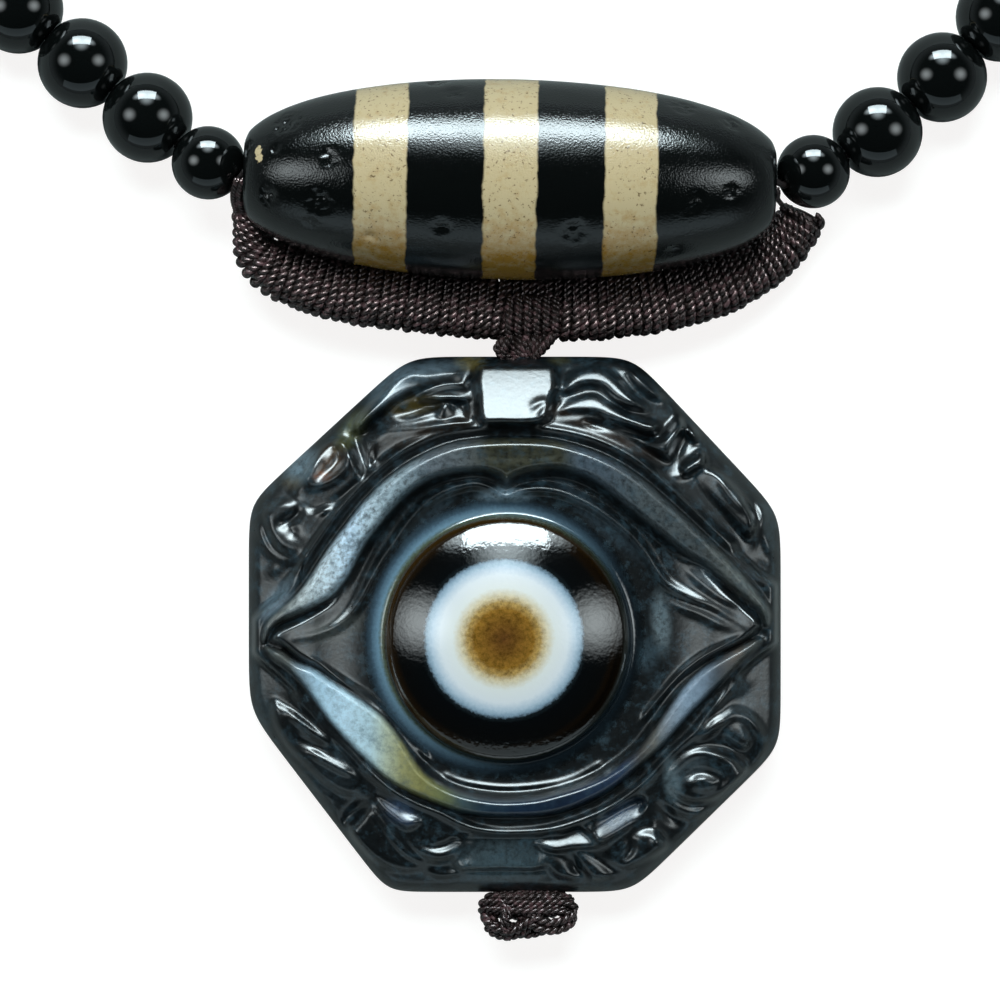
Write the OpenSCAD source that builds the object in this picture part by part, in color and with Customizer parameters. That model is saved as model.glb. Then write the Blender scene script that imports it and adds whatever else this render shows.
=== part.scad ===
// Agate bead necklace laid on a table: barrel dzi bead, corded cradle and carved eye pendant.
// Millimetres. The necklace lies flat, its face up (+Z), the neck loop towards +Y.

/* [Beads] */
// diameter of the round beads
bead_d = 8; // [6:0.1:10]
// length of a round bead between its drilled ends
bead_len = 7.3; // [5:0.1:9]
// diameter of the two smaller beads beside the barrel bead
small_d = 6.5; // [5:0.1:8]
// length of a smaller bead between its drilled ends
small_len = 6.1; // [4.5:0.1:7.5]
// diameter of the hole drilled through the beads
hole_d = 1.2; // [1:0.1:2]
// how far above the barrel bead the two strands run parallel
loop_rise = 125.4; // [60:1:180]

/* [Barrel bead] */
// length of the dzi bead
dzi_len = 46.7; // [36:0.1:56]
// diameter of the dzi bead at its middle
dzi_d = 17.6; // [15:0.1:20]
// diameter of the bore along the dzi bead
dzi_bore = 2.8; // [2:0.1:4]

/* [Pendant] */
// width of the pendant
pend_w = 47.1; // [38:0.1:56]
// height of the eye above the flat back
pend_t = 12.4; // [9:0.1:16]
// diameter of the hole the cord runs through
pend_bore = 2.8; // [2.4:0.1:4]
// distance from the dzi bead's axis down to the top of the pendant
pend_drop = 15.5; // [15:0.1:20]

/* [Cords] */
// diameter of the wound cradle cord
cradle_d = 4.5; // [3.3:0.1:4.6]
// diameter of the cord inside the pendant
stem_d = 2.2; // [1.4:0.1:2.2]
// diameter of the thread the beads are strung on
thread_d = 0.7; // [0.3:0.05:0.8]

/* [Hidden] */
bead_r = bead_d / 2;
bead_flat = sqrt(bead_r * bead_r - bead_len * bead_len / 4);
small_r = small_d / 2;
dzi_r = dzi_d / 2;
dzi_turn = -1.1;
ps = pend_w / 47.4;
pz = pend_t / 12.4;
ls = dzi_len / 46.7;
cs = cradle_d / 4.5;
sling_y = -11.95;
cord_z = 5;
pend_x = 0.47;
pend_y = -pend_drop - 23.85 * ps;
stem_x = 1.2;
knot_y = pend_y - 23.9 * ps - 2.3;

function lerp(a, b, t) = a + (b - a) * t;
function unit(v) = v / norm(v);
function total(v, i = 0) = i < len(v) ? v[i] + total(v, i + 1) : 0;

// a point given in the dzi bead's own frame: along its axis, across it, above the axis
function in_dzi(p) = [
  p[0] * cos(dzi_turn) - p[1] * sin(dzi_turn),
  p[0] * sin(dzi_turn) + p[1] * cos(dzi_turn),
  dzi_r + p[2]
];

// Strands beside the dzi bead: for each bead its heading, its slack and the height share it keeps.
left_run = [[32.3, 0.3, 0.43], [40.4, 0.5, 0.085], [39.7, 0.25, 0], [41.0, 0.18, 0]];
right_run = [[25.2, 0.3, 0.43], [37.2, 0.5, 0.085], [43.6, 0.25, 0], [48.2, 0.2, 0]];

join_z = dzi_r - 1.2;
left_start = [-dzi_len / 2 - 0.75, 0.0, join_z];
right_start = [dzi_len / 2 + 0.75, -0.45, join_z];

function run_z(run, k) = k == 0 ? join_z : bead_r + (join_z - bead_r) * run[k - 1][2];
function run_step(run, k) = (k == 1 ? small_len : bead_len) + run[k - 1][1];
function run_flat(run, k) =
  let (dz = run_z(run, k) - run_z(run, k - 1))
  sqrt(run_step(run, k) * run_step(run, k) - dz * dz);
function run_pos(start, run, side, k) = k == 0 ? start :
  let (p = run_pos(start, run, side, k - 1), f = run_flat(run, k), h = run[k - 1][0])
  [p[0] + side * f * cos(h), p[1] + f * sin(h), run_z(run, k)];

left_pts = [for (k = [0 : 4]) run_pos(left_start, left_run, -1, k)];
right_pts = [for (k = [0 : 4]) run_pos(right_start, right_run, 1, k)];

// Side strands: arcs that reach the parallel height, joined by a half circle.
left_head = 43;
right_head = 50;
pl = left_pts[4];
pr = right_pts[4];
rl = (loop_rise - pl[1]) / cos(left_head);
rr = (loop_rise - pr[1]) / cos(right_head);
xl = pl[0] - rl * (1 - sin(left_head));
xr = pr[0] + rr * (1 - sin(right_head));
top_r = (xr - xl) / 2;
top_x = (xr + xl) / 2;
arc_l = rl * (90 - left_head) * PI / 180;
arc_t = PI * top_r;
arc_r = rr * (90 - right_head) * PI / 180;
strand = arc_l + arc_t + arc_r;
pitch_min = bead_len + 0.06 + bead_flat * bead_len / min(top_r, rl, rr);
loop_n = floor(strand / pitch_min);

// Route of the loop as a function of the distance s from the end of the left strand.
function arc_point(c, r, a) = [c[0] + r * cos(a), c[1] + r * sin(a), bead_r];
function route(s) =
  s <= arc_l ? arc_point([xl + rl, loop_rise], rl, 180 + (arc_l - s) / rl * 180 / PI) :
  s <= arc_l + arc_t ? arc_point([top_x, loop_rise], top_r, 180 - (s - arc_l) / top_r * 180 / PI) :
  arc_point([xr - rr, loop_rise], rr, -(s - arc_l - arc_t) / rr * 180 / PI);
loop_pts = [for (k = [0 : loop_n]) route(strand * k / loop_n)];

big_left = [left_pts[1], left_pts[2], left_pts[3], left_pts[4]];
big_right = [right_pts[1], right_pts[2], right_pts[3], right_pts[4]];

// The whole is shifted so that its footprint is centred on the origin.
loop_mid = [for (k = [0 : loop_n - 1]) (loop_pts[k] + loop_pts[k + 1]) / 2];
min_x = min([for (p = loop_mid) p[0]]) - bead_r;
max_x = max([for (p = loop_mid) p[0]]) + bead_r;
max_y = max([for (p = loop_mid) p[1]]) + bead_r;
min_y = knot_y - 2.1;
shift = [-(min_x + max_x) / 2, -(min_y + max_y) / 2, 0];

agate = [0.06, 0.07, 0.07];
cord_c = [0.19, 0.15, 0.15];

// Points of a tube: a ring of n points round every point of the path.
cord_up = [0, -0.8, 0.6];
function tangent(path, i, closed) =
  let (n = len(path))
  closed ? unit(path[(i + 1) % n] - path[(i + n - 1) % n]) :
  unit(path[min(i + 1, n - 1)] - path[max(i - 1, 0)]);
function tube_points(path, radii, n, up, closed) = [
  for (i = [0 : len(path) - 1])
    let (t = tangent(path, i, closed), s = unit(cross(t, up)), b = cross(s, t))
      for (k = [0 : n - 1])
        let (a = k * 360 / n)
          path[i] + radii[i] * (cos(a) * s + sin(a) * b)
];
function tube_sides(m, n, closed) = [
  for (i = [0 : m - (closed ? 1 : 2)])
    for (k = [0 : n - 1])
      let (j = (i + 1) % m, l = (k + 1) % n)
        each [
          [i * n + k, i * n + l, j * n + l],
          [i * n + k, j * n + l, j * n + k]
        ]
];
module tube(path, radii, n, up = cord_up, closed = false) {
  m = len(path);
  pts = tube_points(path, radii, n, up, closed);
  caps = closed ? [] : concat(
    [for (k = [1 : n - 2]) [0, k + 1, k]],
    [for (k = [1 : n - 2]) [(m - 1) * n, (m - 1) * n + k, (m - 1) * n + k + 1]]
  );
  polyhedron(points = pts, faces = concat(tube_sides(m, n, closed), caps));
}

// Smooth curve through a table of points, each cut into parts.
function spline(p0, p1, p2, p3, t) = 0.5 * (2 * p1 + (p2 - p0) * t
  + (2 * p0 - 5 * p1 + 4 * p2 - p3) * t * t + (3 * p1 - p0 - 3 * p2 + p3) * t * t * t);
function smooth(tab, parts) = let (n = len(tab)) concat(
  [for (i = [0 : n - 2], k = [0 : parts - 1])
    spline(tab[max(i - 1, 0)], tab[i], tab[i + 1], tab[min(i + 2, n - 1)], k / parts)],
  [tab[n - 1]]
);

module drilled_bead(d, l, hole) {
  difference() {
    intersection() {
      sphere(d = d, $fn = 64);
      cylinder(d = d + 1, h = l, center = true, $fn = 48);
    }
    cylinder(d = hole, h = l + 1, center = true, $fn = 24);
  }
}

module strung(a, b) {
  v = b - a;
  translate((a + b) / 2) rotate([0, acos(v[2] / norm(v)), atan2(v[1], v[0])]) children();
}

module dzi_bead() {
  half = dzi_len / 2;
  reach = half * 1.0364;
  n = 36;
  curve = [for (k = [0 : n])
    let (x = half * (k / n * 2 - 1))
      [dzi_r * pow(1 - x * x / (reach * reach), 0.36), x]];
  color([0.13, 0.12, 0.1]) translate([0, 0, dzi_r]) rotate([0, 0, dzi_turn]) rotate([0, 90, 0])
    rotate_extrude($fn = 72)
      polygon(concat([[dzi_bore / 2, -half]], [[curve[0][0] - 0.3, -half]],
        [for (k = [1 : n - 1]) curve[k]], [[curve[n][0] - 0.3, half]], [[dzi_bore / 2, half]]));
}

module small_bead_left() {
  color(agate) strung(left_pts[0], left_pts[1]) drilled_bead(small_d, small_len, hole_d);
}

module small_bead_right() {
  color(agate) strung(right_pts[0], right_pts[1]) drilled_bead(small_d, small_len, hole_d);
}

module bead_string() {
  color(agate) {
    for (k = [0 : 2]) {
      strung(big_left[k], big_left[k + 1]) drilled_bead(bead_d, bead_len, hole_d);
      strung(big_right[k], big_right[k + 1]) drilled_bead(bead_d, bead_len, hole_d);
    }
    for (k = [0 : loop_n - 1])
      strung(loop_pts[k], loop_pts[k + 1]) drilled_bead(bead_d, bead_len, hole_d);
  }
}

module stringing_thread() {
  dzi_run = [
    in_dzi([dzi_len / 2 - 0.1, 0.45, -0.45]), in_dzi([dzi_len / 2 - 2, 0.5, -0.3]),
    in_dzi([0, 0.5, -0.3]),
    in_dzi([2 - dzi_len / 2, 0.5, -0.3]), in_dzi([0.1 - dzi_len / 2, 0.45, -0.45])
  ];
  path = concat(
    left_pts,
    [for (k = [1 : loop_n - 1]) loop_pts[k]],
    [for (k = [4 : -1 : 0]) right_pts[k]],
    dzi_run
  );
  color([0.1, 0.09, 0.09])
    tube(path, [for (p = path) thread_d / 2], 8, [0, 0, 1], true);
}

module cradle_cord() {
  // middle of the wound cord and its radius, from inside the dzi bead's left mouth to its blunt end
  tab = [
    [-20.5, 0.4, 9.0, 0.35], [-22.6, 0.25, 9.0, 0.36], [-23.75, -0.1, 8.85, 0.38],
    [-24.1, -1.2, 7.6, 0.5], [-24.05, -2.3, 5.9, 0.7],
    [-23.45, -3.5, 4.6, 1.2], [-22.7, -5.9, 4.7, 1.9], [-21.5, -7.6, 4.9, 2.2],
    [-19.9, -8.35, 5, 2.42], [-17.7, -9.1, 5, 2.52], [-14.85, -9.95, 5, 2.58],
    [-9.75, -10.72, 5, 2.52], [-4.45, -11.42, 5, 2.4], [-1.2, -11.75, 5, 2.3],
    [-0.55, -11.9, 5, 2.2], [-0.35, -11.93, 5, 1.45], [2.0, -11.95, 5, 1.45], [4.4, -11.97, 5, 1.45],
    [4.6, -11.95, 5, 2.2], [6.4, -11.92, 5, 2.24], [10.75, -11.42, 4.8, 2.33], [15.85, -10.4, 4.3, 2.42],
    [18.95, -9.35, 3.8, 2.38], [21.45, -8.1, 3.3, 2.3], [23.65, -6.45, 2.8, 2.25],
    [25.1, -4.6, 2.45, 2.25], [26.0, -3.2, 2.4, 2.25], [26.27, -2.7, 2.35, 2.05], [26.4, -2.4, 2.33, 1.45]
  ];
  core = [
    [25.0, -2.9, 2.9, 0.25], [24.2, -2.0, 4.6, 0.25], [23.72, -1.55, 6.2, 0.25],
    [23.68, -1.1, 7.6, 0.25], [23.5, -0.75, 8.3, 0.25], [22.6, -0.7, 8.5, 0.28], [20.5, -0.6, 8.5, 0.3]
  ];
  a = smooth([for (p = tab) [p[0] * ls, p[1], p[2], p[3] * cs]], 2);
  b = smooth([for (p = core) [p[0] * ls, p[1], p[2] + dzi_r - 8.8, p[3]]], 2);
  color(cord_c) {
    tube([for (p = a) [p[0], p[1], p[2]]], [for (p = a) p[3]], 14);
    tube([for (p = b) [p[0], p[1], p[2]]], [for (p = b) p[3]], 8);
  }
}

module capsule(a, b, r) {
  v = b - a;
  n = 10;
  translate(a) rotate([0, acos(v[2] / norm(v)), atan2(v[1], v[0])])
    rotate_extrude($fn = 32)
      polygon(concat(
        [for (k = [0 : n]) [r * sin(k * 90 / n), -r * cos(k * 90 / n)]],
        [for (k = [0 : n]) [r * cos(k * 90 / n), norm(v) + r * sin(k * 90 / n)]]
      ));
}

module hanging_cord() {
  color(cord_c) {
    difference() {
      union() {
        translate([-0.3, sling_y, cord_z]) rotate([0, 90, 0])
          cylinder(d = cradle_d + 0.05, h = 4.65, $fn = 48);
        translate([stem_x, -pend_drop + 0.12, cord_z]) rotate([-90, 0, 0])
          cylinder(r1 = 1.8, r2 = 2.3, h = pend_drop - 14.55, $fn = 48);
        translate([stem_x + 0.5, -14.7, cord_z]) rotate([-90, 0, 0])
          cylinder(r = 1.8, h = 2, $fn = 48);
      }
      translate([-2, sling_y, cord_z]) rotate([0, 90, 0])
        cylinder(r = 1.45 * cs + 0.12, h = 9, $fn = 48);
    }
    translate([stem_x, knot_y, cord_z]) rotate([-90, 0, 0])
      cylinder(d = stem_d, h = -knot_y - pend_drop + 0.6, $fn = 32);
    translate([1.6, knot_y, cord_z]) {
      capsule([-2.95, 1, 0.7], [2.75, 0.9, 0.7], 1.15);
      capsule([-3.15, -0.3, 0.2], [-0.6, -0.9, 0.6], 1.2);
      capsule([0.6, -0.6, 0.5], [3.25, 0, 0.3], 1.2);
      capsule([-2.6, 0.3, -1.2], [2.6, 0.2, -1.2], 1.3);
    }
  }
}

// Outline of the pendant: distance from the dome's middle to the rim at angle a.
dome_c = [-0.65, -1.25];
rim_planes = [
  [90, 25.1], [43.2, 25.33], [0, 24.35], [-45.7, 23.97],
  [-90, 22.65], [217.4, 22.3], [180, 23.1], [132.7, 24.47]
];
function rim(a) =
  pow(total([for (p = rim_planes) pow(max(0, cos(a - p[0]) / p[1]), 36)]), -1 / 36);

// Heights of the carved face, in mm at the drawn size.
lid_out_up = [[-23.3, -0.6], [-21.05, 1.7], [-18.3, 4.7], [-15.9, 8.8], [-13.3, 12.2], [-10.2, 14.6],
  [-7.2, 16.3], [-4.1, 17.15], [-0.7, 17.4], [2.7, 17.15], [6.1, 16.3], [9.5, 14.6], [12.9, 12.2],
  [15.6, 9.5], [19, 6.1], [22, 3.2], [23.5, 0]];
lid_in_up = [[-21.5, -0.2], [-18.4, 1.3], [-15.3, 3.4], [-13, 6.1], [-11.3, 8.8], [-8.5, 11.5],
  [-5.8, 12.7], [-3.1, 12.6], [-0.9, 11.8], [1, 12.6], [4.4, 13.2], [7.8, 12.6], [10.5, 10.5],
  [12.9, 7.5], [14.6, 4.7], [18, 2], [21.4, 0]];
lid_out_low = [[-23.3, -1], [-20.1, -4.8], [-18.4, -7.2], [-15, -11.3], [-10.9, -15], [-7.2, -17.4],
  [-2.4, -18.6], [2.7, -18.4], [7.1, -17.05], [11.2, -14], [14.6, -10.25], [18, -7.5],
  [21.4, -3.75], [23.5, -0.6]];
lid_in_low = [[-21.5, -0.8], [-18.1, -4.5], [-16, -6.9], [-12.6, -10.2], [-9.25, -13], [-5.8, -14.7],
  [-0.7, -15.6], [4.4, -14.9], [7.8, -13.3], [11.2, -9.9], [13.9, -6.5], [17.35, -3.4], [21.4, -0.8]];

function step(t) = let (c = max(0, min(1, t))) c * c * (3 - 2 * c);
function groove(d, w) = exp(-d * d / (w * w));
function dome(r) = sqrt(17.4 * 17.4 - r * r) - 17.4 + 12.4;

function lid(t, low) = 8.9 + (low ? 1.5 : 2.1) * step(t / 0.3) + 0.5 * step(t) - 1.9 * step((t - 0.86) / 0.14);
function carving(x, y) =
  -0.9 * (y > 0 ? groove(abs(x) - 4.0, 0.5) : groove(x - 2.8, 0.5) + groove(x + 6, 0.5))
  - 0.9 * (y > 0 ? groove((x + 13.4) * 0.55 + (y - 13.9) * 0.05, 0.6) + groove((x - 14.4) * 0.7, 0.6) : 0)
  - 0.9 * (y < 0 ? groove((x + 13.6) * 0.7 + (y + 15.5) * 0.2, 0.6) : 0)
  - 0.9 * groove(norm([x - 16.4, y + 12.4]) - 3.9, 0.5) - 0.6 * groove(norm([x - 16.6, y + 12.7]), 0.9);
function border(x, y, e) = 6.9 + 0.62 * min(e, 5.2) - 0.9 * pow(max(0, 1 - e / 0.9), 2)
  + (e > 0.9 ? carving(x, y) * step((e - 0.9) / 1.2) : 0);

function face_z(x, y, r, e) =
  let (uo = lookup(x, lid_out_up), ui = lookup(x, lid_in_up),
       lo = lookup(x, lid_out_low), li = lookup(x, lid_in_low))
  r < 10.75 ? dome(r) :
  abs(x) > 23.2 ? border(x, y, e) :
  y > uo ? lerp(9.2, border(x, y, e), step((y - uo) / 1.2)) :
  y < lo ? lerp(8.9, border(x, y, e), step((lo - y) / 1.2)) :
  y > ui ? lid((y - ui) / max(0.8, uo - ui), false) * step((e + 0.8) / 1.6) + 8.4 * (1 - step((e + 0.8) / 1.6)) :
  y < li ? lid((li - y) / max(0.8, li - lo), true) * step((e + 0.8) / 1.6) + 8.4 * (1 - step((e + 0.8) / 1.6)) :
  8.6 - 0.25 * step((r - 11) / 3);

face_rings = [0, 3.5, 6.2, 8.4, 9.8, 10.7, 11.1, 11.7];
rim_parts = [0.07, 0.14, 0.21, 0.28, 0.35, 0.42, 0.49, 0.56, 0.63, 0.7, 0.77, 0.84, 0.9, 0.95, 0.985, 1];
rings_n = len(face_rings) + len(rim_parts);
spokes = 120;
function ring_r(j, a) = j < 8 ? face_rings[j] : lerp(11.7, rim(a), rim_parts[j - 8]);

module pendant() {
  face = [for (j = [1 : rings_n - 1], k = [0 : spokes - 1])
    let (a = k * 360 / spokes, r = ring_r(j, a), x = dome_c[0] + r * cos(a), y = dome_c[1] + r * sin(a))
      [x * ps, y * ps, face_z(x, y, r, rim(a) - r) * pz]];
  wall = [for (k = [0 : spokes - 1])
    let (a = k * 360 / spokes, r = rim(a))
      [(dome_c[0] + r * cos(a)) * ps, (dome_c[1] + r * sin(a)) * ps, 0.7 * pz]];
  back = [for (k = [0 : spokes - 1])
    let (a = k * 360 / spokes, r = rim(a) - 0.7)
      [(dome_c[0] + r * cos(a)) * ps, (dome_c[1] + r * sin(a)) * ps, 0]];
  pts = concat(face, wall, back, [[dome_c[0] * ps, dome_c[1] * ps, 12.4 * pz]]);
  rows = rings_n + 1;
  top = len(pts) - 1;
  faces = concat(
    [for (k = [0 : spokes - 1]) [top, (k + 1) % spokes, k]],
    [for (j = [0 : rows - 2], k = [0 : spokes - 1])
      let (l = (k + 1) % spokes, a = j * spokes, b = (j + 1) * spokes)
        each [[a + k, a + l, b + l], [a + k, b + l, b + k]]],
    [[for (k = [0 : spokes - 1]) (rows - 1) * spokes + k]]
  );
  color([0.1, 0.12, 0.13]) difference() {
    translate([pend_x, pend_y, 0]) polyhedron(points = pts, faces = faces);
    translate([stem_x, pend_y, cord_z]) rotate([90, 0, 0])
      cylinder(d = pend_bore, h = pend_w + 20, center = true, $fn = 32);
  }
}

translate(shift) {
  dzi_bead();
  small_bead_left();
  small_bead_right();
  bead_string();
  stringing_thread();
  cradle_cord();
  hanging_cord();
  pendant();
}
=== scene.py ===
import bpy
import bmesh
import math
import numpy as np
from functools import partial
from mathutils import Matrix, Vector, noise


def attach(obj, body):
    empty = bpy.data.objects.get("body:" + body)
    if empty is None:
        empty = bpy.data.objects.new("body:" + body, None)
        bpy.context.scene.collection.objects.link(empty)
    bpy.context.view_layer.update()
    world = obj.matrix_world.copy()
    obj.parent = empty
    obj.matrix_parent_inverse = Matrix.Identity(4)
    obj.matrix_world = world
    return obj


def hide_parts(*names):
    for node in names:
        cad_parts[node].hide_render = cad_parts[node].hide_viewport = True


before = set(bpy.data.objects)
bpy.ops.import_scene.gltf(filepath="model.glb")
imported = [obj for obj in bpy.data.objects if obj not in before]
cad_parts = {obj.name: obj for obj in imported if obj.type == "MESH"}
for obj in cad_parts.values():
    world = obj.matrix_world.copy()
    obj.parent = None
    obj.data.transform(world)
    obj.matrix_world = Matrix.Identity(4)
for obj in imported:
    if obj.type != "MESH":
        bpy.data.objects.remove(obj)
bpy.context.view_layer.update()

# The table and the light: a table that looks white to the camera and stays dim in the
# stones' reflections, a long softbox low behind the necklace with soft lobes round it, a
# high fill, a soft lamp on either side, a reflector in front and a lamp for the cradle only.
SHIFT = Vector((3.8913, -75.6484, 0.0))
MM = 0.001
CAMERA = (-0.863, -28.208, 450)
LIGHT_MIDDLE = (0, -28, 5)
LAMP_DISTANCE = 1.2


def place(x, y, z=0.0):
    """Millimetres from the middle of the barrel bead, above the table, to the row frame."""
    return (Vector((x, y, z)) + SHIFT) * MM


def linear(hexa):
    """The linear colour of a hex one, opaque."""
    c = [int(hexa[i:i + 2], 16) / 255 for i in (1, 3, 5)]
    return [v / 12.92 if v <= 0.04045 else ((v + 0.055) / 1.055) ** 2.4 for v in c] + [1.0]


def add_node(mat, kind, links=None, **settings):
    """Adds a shader node; links gives its sockets a value, a node's output or a node's first output."""
    n = mat.node_tree.nodes.new("ShaderNode" + kind)
    for key, value in settings.items():
        setattr(n, key, value)
    for name, value in (links or {}).items():
        if isinstance(value, bpy.types.Node):
            value = next(out for out in value.outputs if out.enabled)
        if isinstance(value, bpy.types.NodeSocket):
            mat.node_tree.links.new(value, n.inputs[name])
        else:
            n.inputs[name].default_value = value
    return n


def new_material(name):
    """A material without nodes, and the function that adds nodes to it."""
    mat = bpy.data.materials.new(name)
    mat.use_nodes = True
    mat.node_tree.nodes.clear()
    return mat, partial(add_node, mat)


def finish_material(mat, links):
    """Adds the shader, with these sockets set, and the material's output."""
    shader = add_node(mat, "BsdfPrincipled", links)
    add_node(mat, "OutputMaterial", {"Surface": shader})


def deselect():
    for o in bpy.context.selected_objects:
        o.select_set(False)


camera = bpy.data.cameras.new("camera")
camera.lens = 180.47
camera.sensor_width = 36
camera.clip_start = 0.01
camera.clip_end = 20
camera_object = bpy.data.objects.new("camera", camera)
bpy.context.scene.collection.objects.link(camera_object)
camera_object.location = place(*CAMERA)
bpy.context.scene.camera = camera_object
bpy.context.scene.view_settings.view_transform = "Standard"

deselect()
bpy.ops.mesh.primitive_plane_add(size=6, location=(0, 0, 0))
table = bpy.context.object
table.name = "table"
table_paint, add = new_material("white_laminate")
seen = add("LightPath")
finish_material(table_paint, {
    "Base Color": linear("#7b8787"), "Roughness": 0.9, "Emission Color": linear("#f1efee"),
    "Emission Strength": seen.outputs["Is Camera Ray"]})
table.data.materials.append(table_paint)


def softbox(name, azimuth, elevation, width, height, radiance, hexa="#ffffff", oval=False, only=None):
    """A lamp that faces the necklace from azimuth (0 is +Y, 90 is +X); an oval one fades to its edge."""
    a, e = math.radians(azimuth), math.radians(elevation)
    way = Vector((math.sin(a) * math.cos(e), math.cos(a) * math.cos(e), math.sin(e)))
    lamp = bpy.data.lights.new(name, "AREA")
    lamp.shape = "ELLIPSE" if oval else "RECTANGLE"
    lamp.size = width
    lamp.size_y = height
    lamp.color = linear(hexa)[:3]
    lamp.energy = radiance * math.pi * width * height * (math.pi / 4 if oval else 1)
    o = bpy.data.objects.new(name, lamp)
    bpy.context.scene.collection.objects.link(o)
    o.location = place(*LIGHT_MIDDLE) + way * LAMP_DISTANCE
    o.rotation_mode = "QUATERNION"
    o.rotation_quaternion = way.to_track_quat("Z", "Y")
    o.visible_diffuse = only != "gloss"
    o.visible_glossy = only != "matt"
    if oval:
        lamp.use_nodes = True
        glow = lamp.node_tree.nodes["Emission"]
        spot = add_node(lamp, "NewGeometry")
        from_middle = add_node(lamp, "VectorMath", {
            0: spot.outputs["Parametric"], 1: (0.5, 0.5, 0)}, operation="DISTANCE")
        fall = add_node(lamp, "MapRange", {
            "Value": from_middle, "From Min": 0.5, "From Max": 0.0}, interpolation_type="SMOOTHSTEP")
        lamp.node_tree.links.new(fall.outputs[0], glow.inputs["Strength"])
    return o


softbox("softbox_back", -1, 31.5, 0.84, 0.48, 18, "#e2f3f8", only="gloss")
softbox("softbox_back_edge", -1, 44, 0.9, 0.9, 7, "#e2f3f8", oval=True, only="gloss")
softbox("softbox_back_left", -19, 32, 0.8, 0.46, 11, "#e2f3f8", oval=True, only="gloss")
softbox("softbox_back_right", 18, 32, 0.8, 0.46, 8, "#e2f3f8", oval=True, only="gloss")
softbox("softbox_back_fill", -7, 31, 1.0, 0.56, 0.5, only="matt")
softbox("softbox_high", -7, 60, 0.8, 0.4, 16, only="matt")
for name, side in (("left", -1), ("right", 1)):
    softbox("softbox_" + name, 82 * side, 45, 0.8, 0.95, 5.0, "#eef9fb", oval=True, only="gloss")
    softbox("softbox_" + name + "_fill", 88 * side, 46, 0.95, 0.85, 0.45, only="matt")
softbox("reflector_front", 180, 21, 2.2, 0.5, 0.6, "#d5ecf4")
wound_cord = bpy.data.collections.new("wound_cord")
cord_shade = bpy.data.collections.new("cord_shade")
cord_light = softbox("softbox_cord", -7, 54, 0.9, 0.4, 32, only="gloss").light_linking
cord_light.receiver_collection = wound_cord
cord_light.blocker_collection = cord_shade

# The room is dark overhead and dim grey near the horizon.
world = bpy.data.worlds.new("dark_room")
world.use_nodes = True
sky = world.node_tree.nodes["Background"]
sky_coords = add_node(world, "TexCoord")
sky_parts = add_node(world, "SeparateXYZ", {0: sky_coords.outputs["Generated"]})
glow = add_node(world, "MapRange", {
    "Value": sky_parts.outputs["Z"], "From Min": 0.0, "From Max": 0.5, "To Min": 0.3, "To Max": 0.012},
    interpolation_type="SMOOTHSTEP")
sky.inputs["Color"].default_value = linear("#dceef2")
world.node_tree.links.new(glow.outputs[0], sky.inputs["Strength"])
bpy.context.scene.world = world

# The barrel bead: black agate turned to a barrel, with three etched ivory bands, the
# bore along its axis and the small weathering pits of old dzi. It is tumbled to a
# satin polish, so its highlight is broad and grainy.
DZI_LENGTH = 46.7
DZI_RADIUS = 8.8
DZI_BORE = 1.4
DZI_MOUTH = 1.75
DZI_TURN = math.radians(-1.1)
DZI_TAPER = 1.0364
DZI_BELLY = 0.36
# each pit of the upper side: x, y, radius and depth
DZI_PITS = [
    (-19.5, 4.4, 1.6, 0.34), (-15.7, 1.2, 1.1, 0.3), (-21.0, -2.1, 1.1, 0.34), (-16.5, -2.7, 1.5, 0.42),
    (-17.3, -4.4, 0.9, 0.25), (-5.9, -4.7, 1.0, 0.34), (5.6, -4.9, 1.4, 0.4), (16.2, -1.7, 0.9, 0.3),
    (19.3, -1.1, 0.9, 0.28), (15.9, -2.6, 0.7, 0.25), (19.2, 5.1, 1.3, 0.3), (15.0, 6.4, 1.5, 0.25),
    (-4.9, 7.2, 1.3, 0.3), (14.4, -6.2, 0.8, 0.22), (-12.0, -5.6, 0.8, 0.2), (-6.6, 8.2, 1.2, 0.3),
    (1.2, 7.9, 0.7, 0.2), (-20.4, 2.0, 0.6, 0.22),
]


def dzi_radius(x):
    """The bead's radius at x along it, with its ends rounded off."""
    half = DZI_LENGTH / 2
    r = DZI_RADIUS * (1 - (x / (half * DZI_TAPER)) ** 2) ** DZI_BELLY
    end = half - abs(x)
    return r - 0.45 * max(0.0, 1 - end / 0.5) ** 2


# rings of points, closer together towards the bead's ends
ROW_START = 0.004
rows = 200
around = 230
xs = []
for k in range(rows + 1):
    share = 0.5 - 0.5 * math.cos(math.pi * (0.04 + 0.92 * k / rows))
    xs.append(-DZI_LENGTH / 2 + DZI_LENGTH * (share - ROW_START) / (1 - 2 * ROW_START))
xs[0], xs[-1] = -DZI_LENGTH / 2, DZI_LENGTH / 2
rng = np.random.default_rng(11)
under_pits = [(rng.uniform(-19, 19), rng.uniform(2.0, 4.6), rng.uniform(0.6, 1.4), rng.uniform(0.15, 0.35))
              for _ in range(22)]
top_pits = [(x, math.asin(max(-1, min(1, y / dzi_radius(x)))), r, d) for x, y, r, d in DZI_PITS]


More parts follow.
